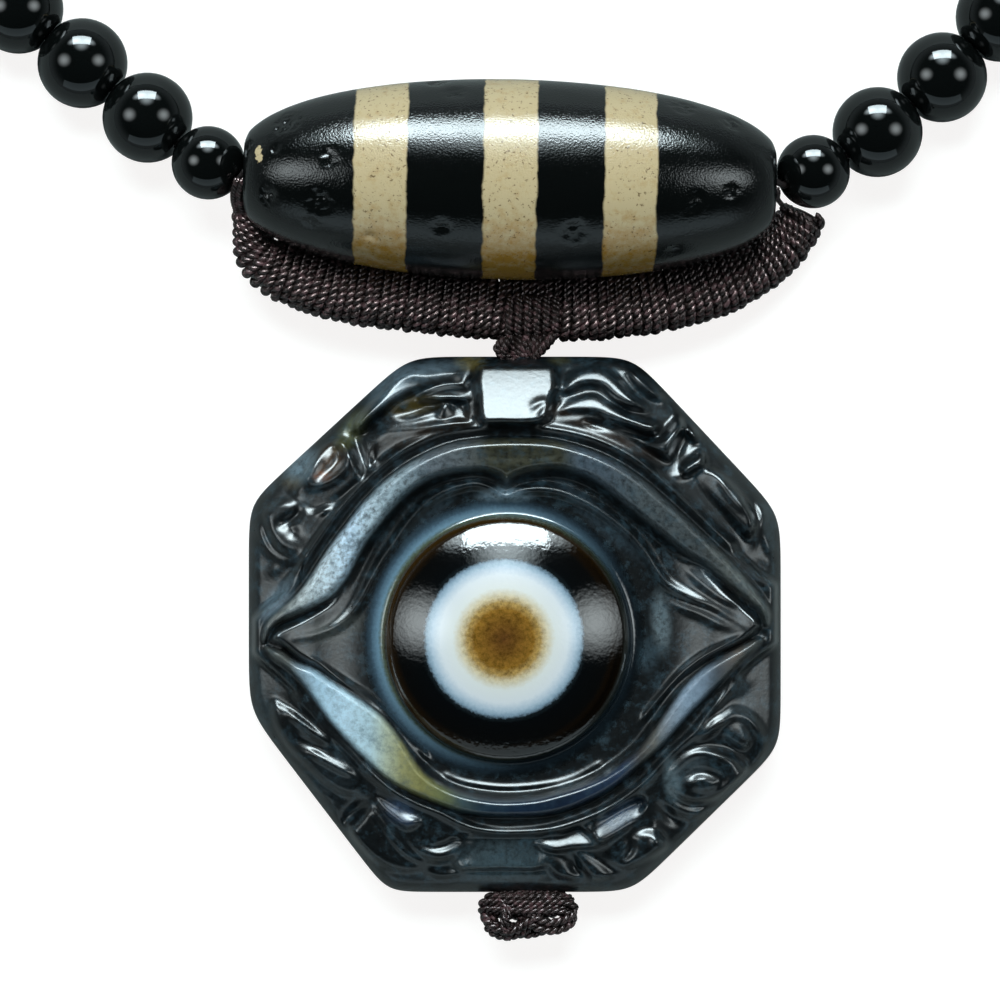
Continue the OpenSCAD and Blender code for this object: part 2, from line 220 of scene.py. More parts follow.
def dzi_point(x, a):
    """A point of the skin at x along the bead and angle a from the top towards the loop."""
    r = dzi_radius(x)
    here = Vector((x, r * math.sin(a), r * math.cos(a)))
    dent = 0.02 * noise.noise(here * 0.25) + 0.008 * noise.noise(here * 1.1)
    for px, pa, pr, pd in top_pits + under_pits:
        if abs(x - px) > pr * 1.2:
            continue
        pr0 = dzi_radius(px)
        there = Vector((px, pr0 * math.sin(pa), pr0 * math.cos(pa)))
        d = (here - there).length / pr
        if d < 1.15:
            rough = 0.55 + 0.9 * noise.noise(here * 2.6 + Vector((px, 0, 7)))
            edge = d + 0.25 * noise.noise(here * 1.9)
            if edge < 1:
                dent += pd * (1 - edge * edge) ** 1.5 * max(0.1, rough)
    return Vector((x, (r - dent) * math.sin(a), (r - dent) * math.cos(a)))


verts, faces = [], []
for x in xs:
    for k in range(around):
        verts.append(dzi_point(x, 2 * math.pi * k / around))
bore_rows = [(-DZI_LENGTH / 2 + 0.02, DZI_MOUTH), (-DZI_LENGTH / 2 + 0.3, DZI_BORE),
             (DZI_LENGTH / 2 - 0.3, DZI_BORE), (DZI_LENGTH / 2 - 0.02, DZI_MOUTH)]
for x, r in reversed(bore_rows):
    for k in range(around):
        a = 2 * math.pi * k / around
        verts.append(Vector((x, r * math.sin(a), r * math.cos(a))))
loops = len(xs) + len(bore_rows)
for i in range(loops):
    j = (i + 1) % loops
    for k in range(around):
        m = (k + 1) % around
        faces.append((i * around + k, i * around + m, j * around + m, j * around + k))
turn = Matrix.Rotation(DZI_TURN, 4, "Z")
verts = [place(*(turn @ v + Vector((0, 0, DZI_RADIUS)))) for v in verts]


def new_piece(name, verts, faces):
    """A smooth-shaded object of these vertices and faces, its normals outwards."""
    mesh = bpy.data.meshes.new(name)
    mesh.from_pydata([tuple(v) for v in verts], [], faces)
    mesh.update()
    o = bpy.data.objects.new(name, mesh)
    bpy.context.scene.collection.objects.link(o)
    bm = bmesh.new()
    bm.from_mesh(mesh)
    bmesh.ops.recalc_face_normals(bm, faces=bm.faces)
    bm.to_mesh(mesh)
    bm.free()
    mesh.polygons.foreach_set("use_smooth", [True] * len(mesh.polygons))
    return o


dzi = new_piece("dzi_barrel", verts, faces)

# Etched agate, tumbled: near-black ground, ivory bands that go ochre towards the lower
# edge, dark specks in the bands, and a fine orange-peel grain that breaks the highlight.
etched, add = new_material("etched_agate_satin")
coords = add("TexCoord")
mm = add("Mapping", {
    "Vector": coords.outputs["Object"], "Location": place(0, 0, DZI_RADIUS), "Rotation": (0, 0, DZI_TURN),
    "Scale": (MM, MM, MM)}, vector_type="TEXTURE")
wobble = add("TexNoise", {"Vector": mm, "Scale": 0.42, "Detail": 2.5, "Roughness": 0.6})
split = add("SeparateXYZ", {"Vector": mm})
shifted = add("Math", {0: wobble, 1: 0.7, 2: -0.35}, operation="MULTIPLY_ADD")
along = add("Math", {0: split.outputs["X"], 1: shifted}, operation="ADD")
band = None
for centre_x, half_width in ((-11.25, 2.27), (0.02, 2.3), (10.5, 2.22)):
    away = add("Math", {0: along, 1: centre_x}, operation="SUBTRACT")
    away = add("Math", {0: away}, operation="ABSOLUTE")
    one = add("MapRange", {
        "Value": away, "From Min": half_width + 0.14, "From Max": half_width - 0.1},
        interpolation_type="SMOOTHSTEP")
    band = one if band is None else add("Math", {0: band, 1: one}, operation="MAXIMUM")
chip = add("VectorMath", {0: mm, 1: (-21.9, 1.6, 4.3)}, operation="SUBTRACT")
chip = add("VectorMath", {0: chip, 1: (1.9, 0.9, 0.6)}, operation="MULTIPLY")
chip = add("VectorMath", {0: chip}, operation="LENGTH")
ragged = add("TexNoise", {"Vector": mm, "Scale": 1.6, "Detail": 2.0, "Roughness": 0.6})
chip = add("Math", {0: ragged, 1: 1.4, 2: chip}, operation="MULTIPLY_ADD")
chip = add("MapRange", {"Value": chip, "From Min": 1.36, "From Max": 1.26})
band = add("Math", {0: band, 1: chip}, operation="MAXIMUM")
mottle = add("TexNoise", {"Vector": mm, "Scale": 0.9, "Detail": 8.0, "Roughness": 0.7})
# the ivory goes darker and more ochre towards the lower edge, and in mottled patches
low = add("MapRange", {
    "Value": split.outputs["Y"], "From Min": -2.6, "From Max": -8.5, "To Min": -0.16, "To Max": 1.0})
ochre_share = add("Math", {0: mottle, 1: 2.3, 2: -1.06}, operation="MULTIPLY_ADD")
ochre_share = add("Math", {0: ochre_share, 1: low}, operation="ADD", use_clamp=True)
ivory = add("Mix", {"Factor": ochre_share, "A": linear("#bab08b"), "B": linear("#9c762a")}, data_type="RGBA")
specks = add("TexNoise", {"Vector": mm, "Scale": 3.1, "Detail": 3.0, "Roughness": 0.6})
specks = add("MapRange", {"Value": specks, "From Min": 0.6, "From Max": 0.68, "To Max": 0.75})
ivory = add("Mix", {"Factor": specks, "A": ivory, "B": linear("#4d3a1c")}, data_type="RGBA")
skin = add("Mix", {"Factor": band, "A": linear("#070a0a"), "B": ivory}, data_type="RGBA")
peel = add("TexNoise", {"Vector": mm, "Scale": 5.8, "Detail": 1.0, "Roughness": 0.5})
peel_bump = add("Bump", {"Strength": 1.0, "Distance": 0.000024, "Height": peel})
rough = add("MapRange", {"Value": mottle, "To Min": 0.08, "To Max": 0.17})
finish_material(etched, {"Base Color": skin, "Roughness": rough, "IOR": 1.54, "Normal": peel_bump})
dzi.data.materials.append(etched)
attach(dzi, "root")
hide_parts("dzi_bead")
cord_shade.objects.link(dzi)

# The round beads: black agate balls of 8 mm, with two of 6.5 mm beside the barrel
# bead. Each is ground round, polished like glass, drilled through and flattened a
# little where the drill went in.
LOOP_RISE = 125.4
LEFT_HEAD = math.radians(43)
RIGHT_HEAD = math.radians(50)
# each kind of bead: its diameter, its length along the hole and the hole's radius
BEAD = (8.0, 7.3, 0.6)
SMALL_BEAD = (6.5, 6.1, 0.6)
# each bead of a strand, from the barrel bead outwards: its heading, the slack before the
# next one and how much of the barrel bead's height it keeps
LEFT_RUN = [(32.3, 0.3, 0.43), (40.4, 0.5, 0.085), (39.7, 0.25, 0), (41.0, 0.18, 0)]
RIGHT_RUN = [(25.2, 0.3, 0.43), (37.2, 0.5, 0.085), (43.6, 0.25, 0), (48.2, 0.2, 0)]


def strand(start, run, side):
    """The joints between the beads of one strand, from the barrel bead outwards."""
    points = [Vector(start)]
    for k, (heading, slack, share) in enumerate(run):
        length = (SMALL_BEAD[1] if k == 0 else BEAD[1]) + slack
        z = BEAD[0] / 2 + (start[2] - BEAD[0] / 2) * share
        flat = math.sqrt(length ** 2 - (z - points[-1].z) ** 2)
        h = math.radians(heading)
        last = points[-1]
        points.append(Vector((last.x + side * flat * math.cos(h), last.y + flat * math.sin(h), z)))
    return points


left = strand((-DZI_LENGTH / 2 - 0.75, 0, DZI_RADIUS - 1.2), LEFT_RUN, -1)
right = strand((DZI_LENGTH / 2 + 0.75, -0.45, DZI_RADIUS - 1.2), RIGHT_RUN, 1)
radius_left = (LOOP_RISE - left[4].y) / math.cos(LEFT_HEAD)
radius_right = (LOOP_RISE - right[4].y) / math.cos(RIGHT_HEAD)
edge_left = left[4].x - radius_left * (1 - math.sin(LEFT_HEAD))
edge_right = right[4].x + radius_right * (1 - math.sin(RIGHT_HEAD))
radius_top = (edge_right - edge_left) / 2
arc_left = radius_left * (math.pi / 2 - LEFT_HEAD)
arc_top = math.pi * radius_top
arc_right = radius_right * (math.pi / 2 - RIGHT_HEAD)
strand_length = arc_left + arc_top + arc_right
flat_radius = math.sqrt((BEAD[0] / 2) ** 2 - (BEAD[1] / 2) ** 2)
tightest = min(radius_top, radius_left, radius_right)
loop_beads = int(strand_length / (BEAD[1] + 0.06 + flat_radius * BEAD[1] / tightest))


def route(s):
    """The place on the neck loop that is s along it from the left strand's end."""
    if s <= arc_left:
        cx, r, a = edge_left + radius_left, radius_left, math.pi + (arc_left - s) / radius_left
    elif s <= arc_left + arc_top:
        cx, r, a = (edge_left + edge_right) / 2, radius_top, math.pi - (s - arc_left) / radius_top
    else:
        cx, r, a = edge_right - radius_right, radius_right, -(s - arc_left - arc_top) / radius_right
    return Vector((cx + r * math.cos(a), LOOP_RISE + r * math.sin(a), BEAD[0] / 2))


loop = [route(strand_length * k / loop_beads) for k in range(loop_beads + 1)]
chain = list(zip(left[1:], left[2:])) + list(zip(right[1:], right[2:])) + list(zip(loop, loop[1:]))


def turned_bead(name, diameter, length, hole):
    """A ball cut flat at both ends and drilled, in millimetres, its hole along Z."""
    deselect()
    bpy.ops.mesh.primitive_uv_sphere_add(segments=48, ring_count=26, radius=diameter / 2)
    o = bpy.context.object
    o.name = name
    bpy.ops.object.mode_set(mode="EDIT")
    for side in (1, -1):
        bpy.ops.mesh.select_all(action="SELECT")
        bpy.ops.mesh.bisect(plane_co=(0, 0, side * length / 2), plane_no=(0, 0, side),
                            clear_outer=True, use_fill=True)
        bpy.ops.mesh.inset(thickness=math.sqrt(diameter ** 2 - length ** 2) / 2 - hole - 0.1)
        bpy.ops.mesh.inset(thickness=0.1, depth=-0.12)
        bpy.ops.mesh.delete(type="FACE")
    bpy.ops.mesh.select_all(action="DESELECT")
    bpy.ops.mesh.select_non_manifold()
    bpy.ops.mesh.bridge_edge_loops()
    bpy.ops.mesh.select_all(action="SELECT")
    bpy.ops.mesh.normals_make_consistent(inside=False)
    bpy.ops.object.mode_set(mode="OBJECT")
    bpy.ops.object.shade_smooth_by_angle(angle=math.radians(35))
    return o


def thread_on(o, a, b):
    """Lays the bead's hole from joint a to joint b, and puts it in the row frame."""
    v = b - a
    place_at = Matrix.Translation(place(*((a + b) / 2))) @ v.to_track_quat("Z", "Y").to_matrix().to_4x4()
    o.data.transform(place_at @ Matrix.Scale(MM, 4))


# Black agate, polished like glass: a near-black body with a faint cloud and haze in it.
polished, add = new_material("black_agate_polished")
coords = add("TexCoord")
depth = add("TexNoise", {
    "Vector": coords.outputs["Object"], "Scale": 180.0, "Detail": 3.0, "Roughness": 0.5})
body_black = add("Mix", {
    "Factor": depth, "A": linear("#050707"), "B": linear("#0a0e0e")}, data_type="RGBA")
haze = add("MapRange", {"Value": depth, "To Min": 0.03, "To Max": 0.09})
finish_material(polished, {"Base Color": body_black, "Roughness": haze, "IOR": 1.54})

pattern = turned_bead("round_beads", *BEAD)
balls = []
for k, (a, b) in enumerate(chain):
    o = pattern.copy()
    o.data = pattern.data.copy()
    bpy.context.scene.collection.objects.link(o)
    thread_on(o, a, b)
    balls.append(o)
bpy.data.objects.remove(pattern)
deselect()
for o in balls:
    o.select_set(True)
bpy.context.view_layer.objects.active = balls[0]
bpy.ops.object.join()
round_beads = bpy.context.object
round_beads.name = "round_beads"
small_left = turned_bead("small_round_left", *SMALL_BEAD)
thread_on(small_left, left[0], left[1])
small_right = turned_bead("small_round_right", *SMALL_BEAD)
thread_on(small_right, right[0], right[1])
for o, node in (
        (round_beads, "bead_string"), (small_left, "small_bead_left"), (small_right, "small_bead_right")):
    o.data.materials.clear()
    o.data.materials.append(polished)
    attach(o, "root")
    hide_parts(node)

# The stringing thread: 0.7 mm nylon through every bore. The CAD tube has its shape,
# and it shows only in the gaps, so it keeps that shape and gets a twisted-thread finish.
nylon_thread, add = new_material("nylon_thread_twisted")
coords = add("TexCoord")
lay = add("TexWave", {
    "Vector": coords.outputs["Object"], "Scale": 900.0, "Distortion": 2.0}, bands_direction="DIAGONAL")
lay_bump = add("Bump", {"Strength": 0.5, "Distance": 0.0001, "Height": lay.outputs["Fac"]})
finish_material(nylon_thread, {"Base Color": linear("#1c1616"), "Roughness": 0.55, "Normal": lay_bump})
thread_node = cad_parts["stringing_thread"]
thread_node.data.materials.clear()
thread_node.data.materials.append(nylon_thread)

# The cradle: a cord core wound side by side with thread of two twisted plies, slung under
# the barrel bead and pressed against it. Its left end goes up into the bead's mouth, its
# right end is cut blunt under the small bead and held by one thin core thread.
WRAP_PITCH = 0.77
WRAP_RADIUS = 0.5
# each row: x, y, z and the cord's radius
CRADLE = [
    (-23.75, -0.1, 8.85, 0.38), (-24.1, -1.2, 7.6, 0.5), (-24.05, -2.3, 5.9, 0.7),
    (-23.45, -3.5, 4.6, 1.2), (-22.7, -5.9, 4.7, 1.9), (-21.5, -7.6, 4.9, 2.2),
    (-19.9, -8.35, 5, 2.42), (-17.7, -9.1, 5, 2.52), (-14.85, -9.95, 5, 2.58),
    (-9.75, -10.72, 5, 2.52), (-4.45, -11.42, 5, 2.4), (-1.2, -11.75, 5, 2.3),
    (-0.55, -11.9, 5, 2.15), (-0.3, -11.93, 5, 1.7), (2.0, -11.95, 5, 1.6), (4.3, -11.97, 5, 1.7),
    (4.6, -11.95, 5, 2.15), (6.4, -11.92, 5, 2.24), (10.75, -11.42, 4.8, 2.33), (15.85, -10.4, 4.3, 2.42),
    (18.95, -9.35, 3.8, 2.38), (21.45, -8.1, 3.3, 2.3), (23.65, -6.45, 2.8, 2.25),
    (25.1, -4.6, 2.45, 2.25), (26.0, -3.2, 2.4, 2.25), (26.27, -2.7, 2.35, 2.05),
]
# each pair: x and how far the wraps' upper side is pulled towards the barrel bead
TUCK = [
    (-23, 0.9), (-21.5, 1.2), (-20, 0.9), (-8, 0.85), (-4.5, 0.9), (-1.2, 1.2), (-0.3, 1.95), (4.3, 2.0),
    (4.6, 1.5), (6.4, 1.45), (10.8, 1.3), (15.9, 0.9), (22, 0.7), (25, 0.3),
]


def spline(points, parts):
    """Smooth curve through rows of numbers, each stretch cut into parts."""
    p = np.array(points, float)
    p = np.vstack([2 * p[0] - p[1], p, 2 * p[-1] - p[-2]])
    out = []
    for i in range(1, len(p) - 2):
        a, b, c, d = p[i - 1:i + 3]
        for k in range(parts):
            t = k / parts
            bend, twist = 2 * a - 5 * b + 4 * c - d, 3 * b - a - 3 * c + d
            out.append(0.5 * (2 * b + (c - a) * t + bend * t ** 2 + twist * t ** 3))
    return np.array(out + [p[-2]])


def run_length(path):
    """How far along the path each of its points is."""
    return np.concatenate([[0], np.cumsum(np.linalg.norm(np.diff(path, axis=0), axis=1))])


def at_lengths(points, s, wanted):
    return np.array([np.interp(wanted, s, points[:, c]) for c in range(points.shape[1])]).T


def even(points, step):
    """The same curve with its points a step apart."""
    s = run_length(points[:, :3])
    return at_lengths(points, s, np.linspace(0, s[-1], max(2, int(round(s[-1] / step)) + 1)))


def across(path, up):
    """Two directions square to the path at each of its points, the second one close to up."""
    t = np.gradient(path, axis=0)
    t /= np.linalg.norm(t, axis=1)[:, None]
    side = np.cross(t, up)
    side /= np.linalg.norm(side, axis=1)[:, None]
    return side, np.cross(side, t)


def tube(path, radii, sides, up):
    """Vertices and faces of a closed tube along a path."""
    side, rise = across(path, up)
    n = len(path)
    v = []
    for k in range(sides):
        a = 2 * math.pi * k / sides
        v.append(path + radii[:, None] * (math.cos(a) * side + math.sin(a) * rise))
    v = np.stack(v, 1).reshape(-1, 3)
    f = [(i * sides + k, i * sides + (k + 1) % sides, (i + 1) * sides + (k + 1) % sides, (i + 1) * sides + k)
         for i in range(n - 1) for k in range(sides)]
    f.append(tuple(range(sides)))
    f.append(tuple(range((n - 1) * sides, n * sides))[::-1])
    return v, f


def plies(path, up, thread_radius, count, twist, sides, start=0.0):
    """The plies of one twisted thread along a path: each a thin tube that winds round it."""
    side, rise = across(path, up)
    s = run_length(path)
    ply_radius = thread_radius * (0.53 if count == 2 else 0.52)
    offset = thread_radius - ply_radius
    made = []
    for p in range(count):
        a = start + 2 * math.pi * (s / twist + p / count)
        centre_line = path + offset * (np.cos(a)[:, None] * side + np.sin(a)[:, None] * rise)
        made.append(tube(centre_line, np.full(len(path), ply_radius), sides, up))
    return made


def joined(parts):
    """One list of vertices and one of faces, out of several tubes."""
    verts, faces, n = [], [], 0
    for v, f in parts:
        verts.append(v)
        faces += [tuple(i + n for i in face) for face in f]
        n += len(v)
    return np.vstack(verts), faces


def wound(core_path, core_radii, up, pitch, per_turn, thread_radius, tuck, seed):
    """The middle line of a thread wound round a core, its turns uneven, its upper side moved by tuck."""
    rng = np.random.default_rng(seed)
    s = run_length(core_path)
    n = int(s[-1] / pitch * per_turn)
    u = np.linspace(0, s[-1], n)
    side, rise = across(core_path, up)
    knots = np.arange(0, n + per_turn, per_turn // 3)
    a = 2 * math.pi * (u / pitch + np.interp(np.arange(n), knots, rng.uniform(-0.16, 0.16, len(knots))))
    r = np.interp(u, s, core_radii) - thread_radius
    r = r + np.interp(np.arange(n), knots, rng.uniform(-0.15, 0.07, len(knots)))
    outward = np.cos(a)[:, None] * at_lengths(side, s, u) + np.sin(a)[:, None] * at_lengths(rise, s, u)
    made = at_lengths(core_path, s, u) + r[:, None] * outward
    made[:, 1] += np.interp(u, s, tuck) * np.clip(outward[:, 1], 0, 1) ** 2
    return made


CORD_UP = np.array([0, -0.8, 0.6])
cradle_line = even(spline(CRADLE, 8), 0.25)
core = tube(cradle_line[:, :3], np.maximum(0.3, cradle_line[:, 3] - 0.5), 14, CORD_UP)
first = np.argmax(cradle_line[:, 3] > 0.9)
wrap_line = cradle_line[first:]
tuck = np.interp(wrap_line[:, 0], [p[0] for p in TUCK], [p[1] for p in TUCK])
wrap = wound(wrap_line[:, :3], wrap_line[:, 3] + 0.08, CORD_UP, WRAP_PITCH, per_turn=104,
             thread_radius=WRAP_RADIUS, tuck=tuck, seed=3)
strands = plies(wrap, np.array([0.31, 0.2, 0.93]), WRAP_RADIUS, count=2, twist=-1.25, sides=5)
tie_line = even(spline([p[:3] for p in CRADLE[:5]], 8), 0.12)
ties = []
for k in range(3):
    a = 2 * math.pi * k / 3 + 0.4
    lane = tie_line + 0.3 * np.array([math.cos(a), 0.3 * math.sin(a), math.sin(a)])
    lane[-8:] += np.linspace(0, 1, 8)[:, None] * np.array([0.5 * math.cos(a), 0, 0.5 * math.sin(a)])
    ties += plies(lane, CORD_UP, 0.34, count=3, twist=1.2, sides=6, start=k)
thin_line = even(spline([(25.0, -2.9, 2.9), (24.2, -2.0, 4.6), (23.72, -1.55, 6.2), (23.68, -1.1, 7.6),
                            (23.5, -0.75, 8.3), (22.6, -0.7, 8.5), (20.5, -0.6, 8.5)], 8), 0.1)
ties += plies(thin_line, CORD_UP, 0.25, count=2, twist=0.8, sides=6)


def to_frame(v):
    """What place does, for an array of points."""
    return (v + np.array(SHIFT)) * MM


v, f = joined([core] + strands + ties)
cradle = new_piece("cradle_wound", to_frame(v), f)

# Nylon macrame thread: dark brown filament with a soft sheen and a faint pink cast on
# single plies, and a fine grain of filaments.
nylon, add = new_material("nylon_thread_wound")
coords = add("TexCoord")
patches = add("TexNoise", {
    "Vector": coords.outputs["Object"], "Scale": 1500.0, "Detail": 2.0, "Roughness": 0.5})
tint = add("ValToRGB", {"Fac": patches})
tint.color_ramp.elements[0].position = 0.35
tint.color_ramp.elements[0].color = linear("#120f0e")
tint.color_ramp.elements[1].position = 0.68
tint.color_ramp.elements[1].color = linear("#523f42")
warm = tint.color_ramp.elements.new(0.52)
warm.color = linear("#272120")
fibres = add("TexNoise", {
    "Vector": coords.outputs["Object"], "Scale": 6500.0, "Detail": 2.0, "Roughness": 0.6})
fibre_bump = add("Bump", {"Strength": 0.5, "Distance": 0.00006, "Height": fibres})
finish_material(nylon, {
    "Base Color": tint.outputs["Color"], "Roughness": 0.26, "IOR": 1.53, "Specular IOR Level": 0.8,
    "Specular Tint": linear("#fbe8e8"), "Normal": fibre_bump})
cradle.data.materials.append(nylon)
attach(cradle, "root")
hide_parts("cradle_cord")
wound_cord.objects.link(cradle)
cord_shade.objects.link(cradle)

# The pendant's cord: six strands pass over the middle of the cradle, come together in the
# top of the pendant, run through it and end below in a stopper knot of twisted cord.
STEM_X = 1.2
STEM_RADIUS = 1.05
PENDANT_TOP = -15.5
KNOT = np.array([1.6, -64.95, 5.0])
KNOT_STRETCH = 1.09
KNOT_UP = np.array([0.2, 0.9, 0.4])
SLING_Y = -11.95
SLING_RADIUS = 1.85
ACROSS = np.array([1.0, 0.1, 0.2])
hanging = []
for k in range(6):
    x0 = -0.05 + 0.82 * k
    x1 = STEM_X + (x0 - 2.0) * 0.4
    x_mean = (x0 + x1) / 2
    loop_round = [(x1, PENDANT_TOP, 4.2), (x_mean, -14.7, 3.7)]
    for turn_by in range(-230, 60, 24):
        t = math.radians(turn_by)
        loop_round.append((x0, SLING_Y - SLING_RADIUS * math.sin(t), 5 + SLING_RADIUS * math.cos(t)))
    loop_round += [(x_mean, -14.5, 6.0), (x1, -15.3, 5.6), (STEM_X + (x1 - STEM_X) * 0.6, -16.6, 5.2),
                   (STEM_X, -18.5, 5)]
    lane = even(spline(loop_round, 6), 0.1)
    hanging += plies(lane, ACROSS, 0.44, count=2, twist=1.02, sides=6, start=0.7 * k)
# three loose strands in front of the others: route and radius
LOOSE = [
    ([(-0.35, -13.9, 6.6), (-0.8, -14.3, 6.7), (-1.1, -14.9, 6.5), (-0.6, -15.5, 6.3), (-0.1, -16.2, 5.4)],
     0.42),
    ([(0.0, -13.8, 6.9), (-0.35, -14.5, 7.0), (-0.5, -15.2, 6.6), (0.2, -15.7, 6.2), (0.6, -16.4, 5.2)], 0.4),
    ([(3.9, -13.5, 6.9), (3.3, -14.3, 6.9), (2.7, -15.0, 6.5), (2.2, -15.7, 5.9), (1.8, -16.6, 5.2)], 0.42),
]
for path, r in LOOSE:
    hanging += plies(even(spline(path, 8), 0.08), ACROSS, r, count=2, twist=1.0, sides=6, start=r)
stem_line = even(spline([(STEM_X, -15.9, 5), (STEM_X, -30, 5), (STEM_X, -50, 5), (STEM_X, -64.5, 5)], 8), 0.8)
hanging.append(tube(stem_line, np.full(len(stem_line), STEM_RADIUS), 16, CORD_UP))
# each turn of the knot: its route from the knot's middle, and the thread's radius
KNOT_TURNS = [
    ([(-3.2, 0.2, -0.9), (-3.4, 0.9, 0.2), (-2.8, 1.3, 0.9), (0, 1.25, 1.1), (2.8, 1.3, 0.9),
      (3.5, 0.8, 0.2), (3.3, 0.2, -0.9)], 0.36),
    ([(-3.4, -0.4, -0.5), (-3.5, 0.3, 0.5), (-2.4, 0.55, 1.35), (0, 0.45, 1.6), (2.4, 0.45, 1.35),
      (3.4, 0.1, 0.4), (3.2, -0.6, -0.5)], 0.3),
    ([(-1.2, 1.0, -0.8), (-2.9, 0.1, 0.3), (-3.0, -0.9, 0.9), (-1.9, -1.5, 1.0), (-0.6, -1.2, 1.0),
      (0.3, -0.3, 1.2), (0.9, 0.5, 0.9)], 0.42),
    ([(-2.2, 1.2, 1.3), (-1.75, 0.5, 2.0), (-1.8, -0.4, 2.0), (-1.7, -1.3, 1.5), (-1.5, -1.9, 0.4)], 0.26),
    ([(-0.6, 0.4, 0.6), (0.5, -0.5, 1.4), (2.0, -0.95, 1.2), (3.3, -0.4, 0.7), (3.3, 0.5, -0.6),
      (1.5, 0.8, -1.2)], 0.42),
    ([(-2.4, 0.2, -1.5), (0, 0.0, -1.7), (2.4, 0.3, -1.5)], 0.4),
    ([(-1.9, -1.3, -0.4), (-0.2, -1.6, 0.1), (1.5, -1.2, -0.3)], 0.36),
    ([(-2.9, 1.3, 0.1), (-2.3, 1.62, 0.7), (0, 1.65, 0.9), (2.5, 1.62, 0.7), (3.1, 1.2, 0.1)], 0.3),
]
for k, (path, r) in enumerate(KNOT_TURNS):
    route_line = even(spline([(KNOT_STRETCH * x, y, z) for x, y, z in path], 10), 0.1)
    beside, above = across(route_line, KNOT_UP)
    for turned in (0.3 * k, 0.3 * k + 2.1, 0.3 * k + 4.2):
        lane = route_line + KNOT + 1.05 * r * (math.cos(turned) * beside + math.sin(turned) * above)
        hanging += plies(lane, KNOT_UP, r, count=2, twist=1.3, sides=6, start=r)
v, f = joined(hanging)
hanging_cord = new_piece("pendant_cord", to_frame(v), f)
hanging_cord.data.materials.append(nylon)
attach(hanging_cord, "root")
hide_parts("hanging_cord")

# The pendant: an octagonal slab of banded agate, carved with a domed eye between two
# lids, with leaves and scrolls round the corners and a plain plate at the top and the
# bottom. It is cut with small wheels and polished, so every edge is soft and wet-looking.
PENDANT_SCALE = 47.1 / 47.4
PENDANT = np.array([0.47, PENDANT_TOP - 23.85 * PENDANT_SCALE])
DOME = np.array([-0.65, -1.25])
DOME_RADIUS = 10.7
DOME_CURVE = 21.0
DOME_TOP = 12.4
RING_WIDTH = 1.3
FACE_HEIGHT = 6.7
FIELD_HEIGHT = 8.45
LIP_HEIGHT = 9.2
LIP_END_HEIGHT = 6.9
PX_PER_MM = 11.27
PENDANT_PX = (515.1, 624.6)
# each side of the octagon: the angle that it faces, and how far it is from the dome
RIM = [
    (90, 25.1), (43.2, 25.33), (0, 24.35), (-45.7, 23.97), (-90, 22.65), (217.4, 22.3), (180, 23.1),
    (132.7, 24.47),
]


def rim_radius(a):
    """The outline's distance from the dome at angle a: eight sides with rounded corners."""
    return sum(np.maximum(0, np.cos(a - math.radians(t)) / h) ** 36 for t, h in RIM) ** (-1 / 36)


def ease(t):
    """0 below 0, 1 above 1 and a smooth rise between."""
    c = np.clip(t, 0, 1)
    return c * c * (3 - 2 * c)


def traced(points, closed=False):
    """A smooth line through places in the picture, in millimetres from the pendant's middle."""
    p = [((u - PENDANT_PX[0]) / PX_PER_MM, (PENDANT_PX[1] - v) / PX_PER_MM) for u, v in points]
    if not closed:
        return spline(p, 5)
    ring = spline([p[-1]] + p + p[:2], 5)
    return ring[5:-5]


class Face:
    """The carved face: a height at every place, worked on one cut after the other."""

    def __init__(self, x, y, z):
        self.x, self.y, self.z = x, y, z
        self.depth = 1.0

    def near(self, line, reach):
        """The points within reach of a line's box, their distance from it, and which are inside it."""
        low, high = line.min(0) - reach, line.max(0) + reach
        some = np.where((self.x > low[0]) & (self.x < high[0]) & (self.y > low[1]) & (self.y < high[1]))[0]
        x, y = self.x[some], self.y[some]
        gap, inside = np.full(len(some), 1e9), np.zeros(len(some), bool)
        for (ax, ay), (bx, by) in zip(line, line[1:]):
            dx, dy = bx - ax, by - ay
            t = np.clip(((x - ax) * dx + (y - ay) * dy) / (dx * dx + dy * dy + 1e-12), 0, 1)
            gap = np.minimum(gap, np.hypot(x - ax - t * dx, y - ay - t * dy))
            if ay != by:
                inside ^= ((ay > y) != (by > y)) & (x < ax + dx * (y - ay) / dy)
        return some, gap, inside

    def ridge(self, points, height, width, taper_length=4.0):
        """A rounded ridge, or a groove where height is negative, that tapers towards its ends."""
        line = traced(points)
        some, gap, _ = self.near(line, width * 2.5)
        x, y = self.x[some], self.y[some]
        to_end = np.minimum(*(np.hypot(x - end_x, y - end_y) for end_x, end_y in (line[0], line[-1])))
        taper = 0.12 + 0.88 * ease(to_end / (taper_length * width))
        spread = 1.15 * width * (0.6 + 0.4 * taper)
        self.z[some] += self.depth * taper * height * np.exp(-(gap / spread) ** 2)

    def pad(self, points, top, tilt, edge):
        """A facet with a rounded edge: top is the height of its middle, tilt its rise to +X and +Y."""
        line = traced(points, closed=True)
        some, gap, inside = self.near(line, 0.1)
        some, gap = some[inside], gap[inside]
        middle = line.mean(0)
        level = top + tilt[0] * (self.x[some] - middle[0]) + tilt[1] * (self.y[some] - middle[1])
        self.z[some] += (level - self.z[some]) * np.sin(np.clip(gap / edge, 0, 1) * math.pi / 2)

    def band(self, crest, foot, top, fall, edge):
        """A long facet between two lines, highest along its crest."""
        a, b = traced(crest), traced(foot)
        line = np.vstack([a, b[::-1], a[:1]])
        some, gap, inside = self.near(line, 0.1)
        _, from_crest, _ = Face(self.x[some], self.y[some], self.z[some]).near(a, 99)
        some, gap, from_crest = some[inside], gap[inside], from_crest[inside]
        level = top - fall * from_crest
        self.z[some] += (level - self.z[some]) * np.sin(np.clip(gap / edge, 0, 1) * math.pi / 2)
        return some, ease(gap / 0.35)


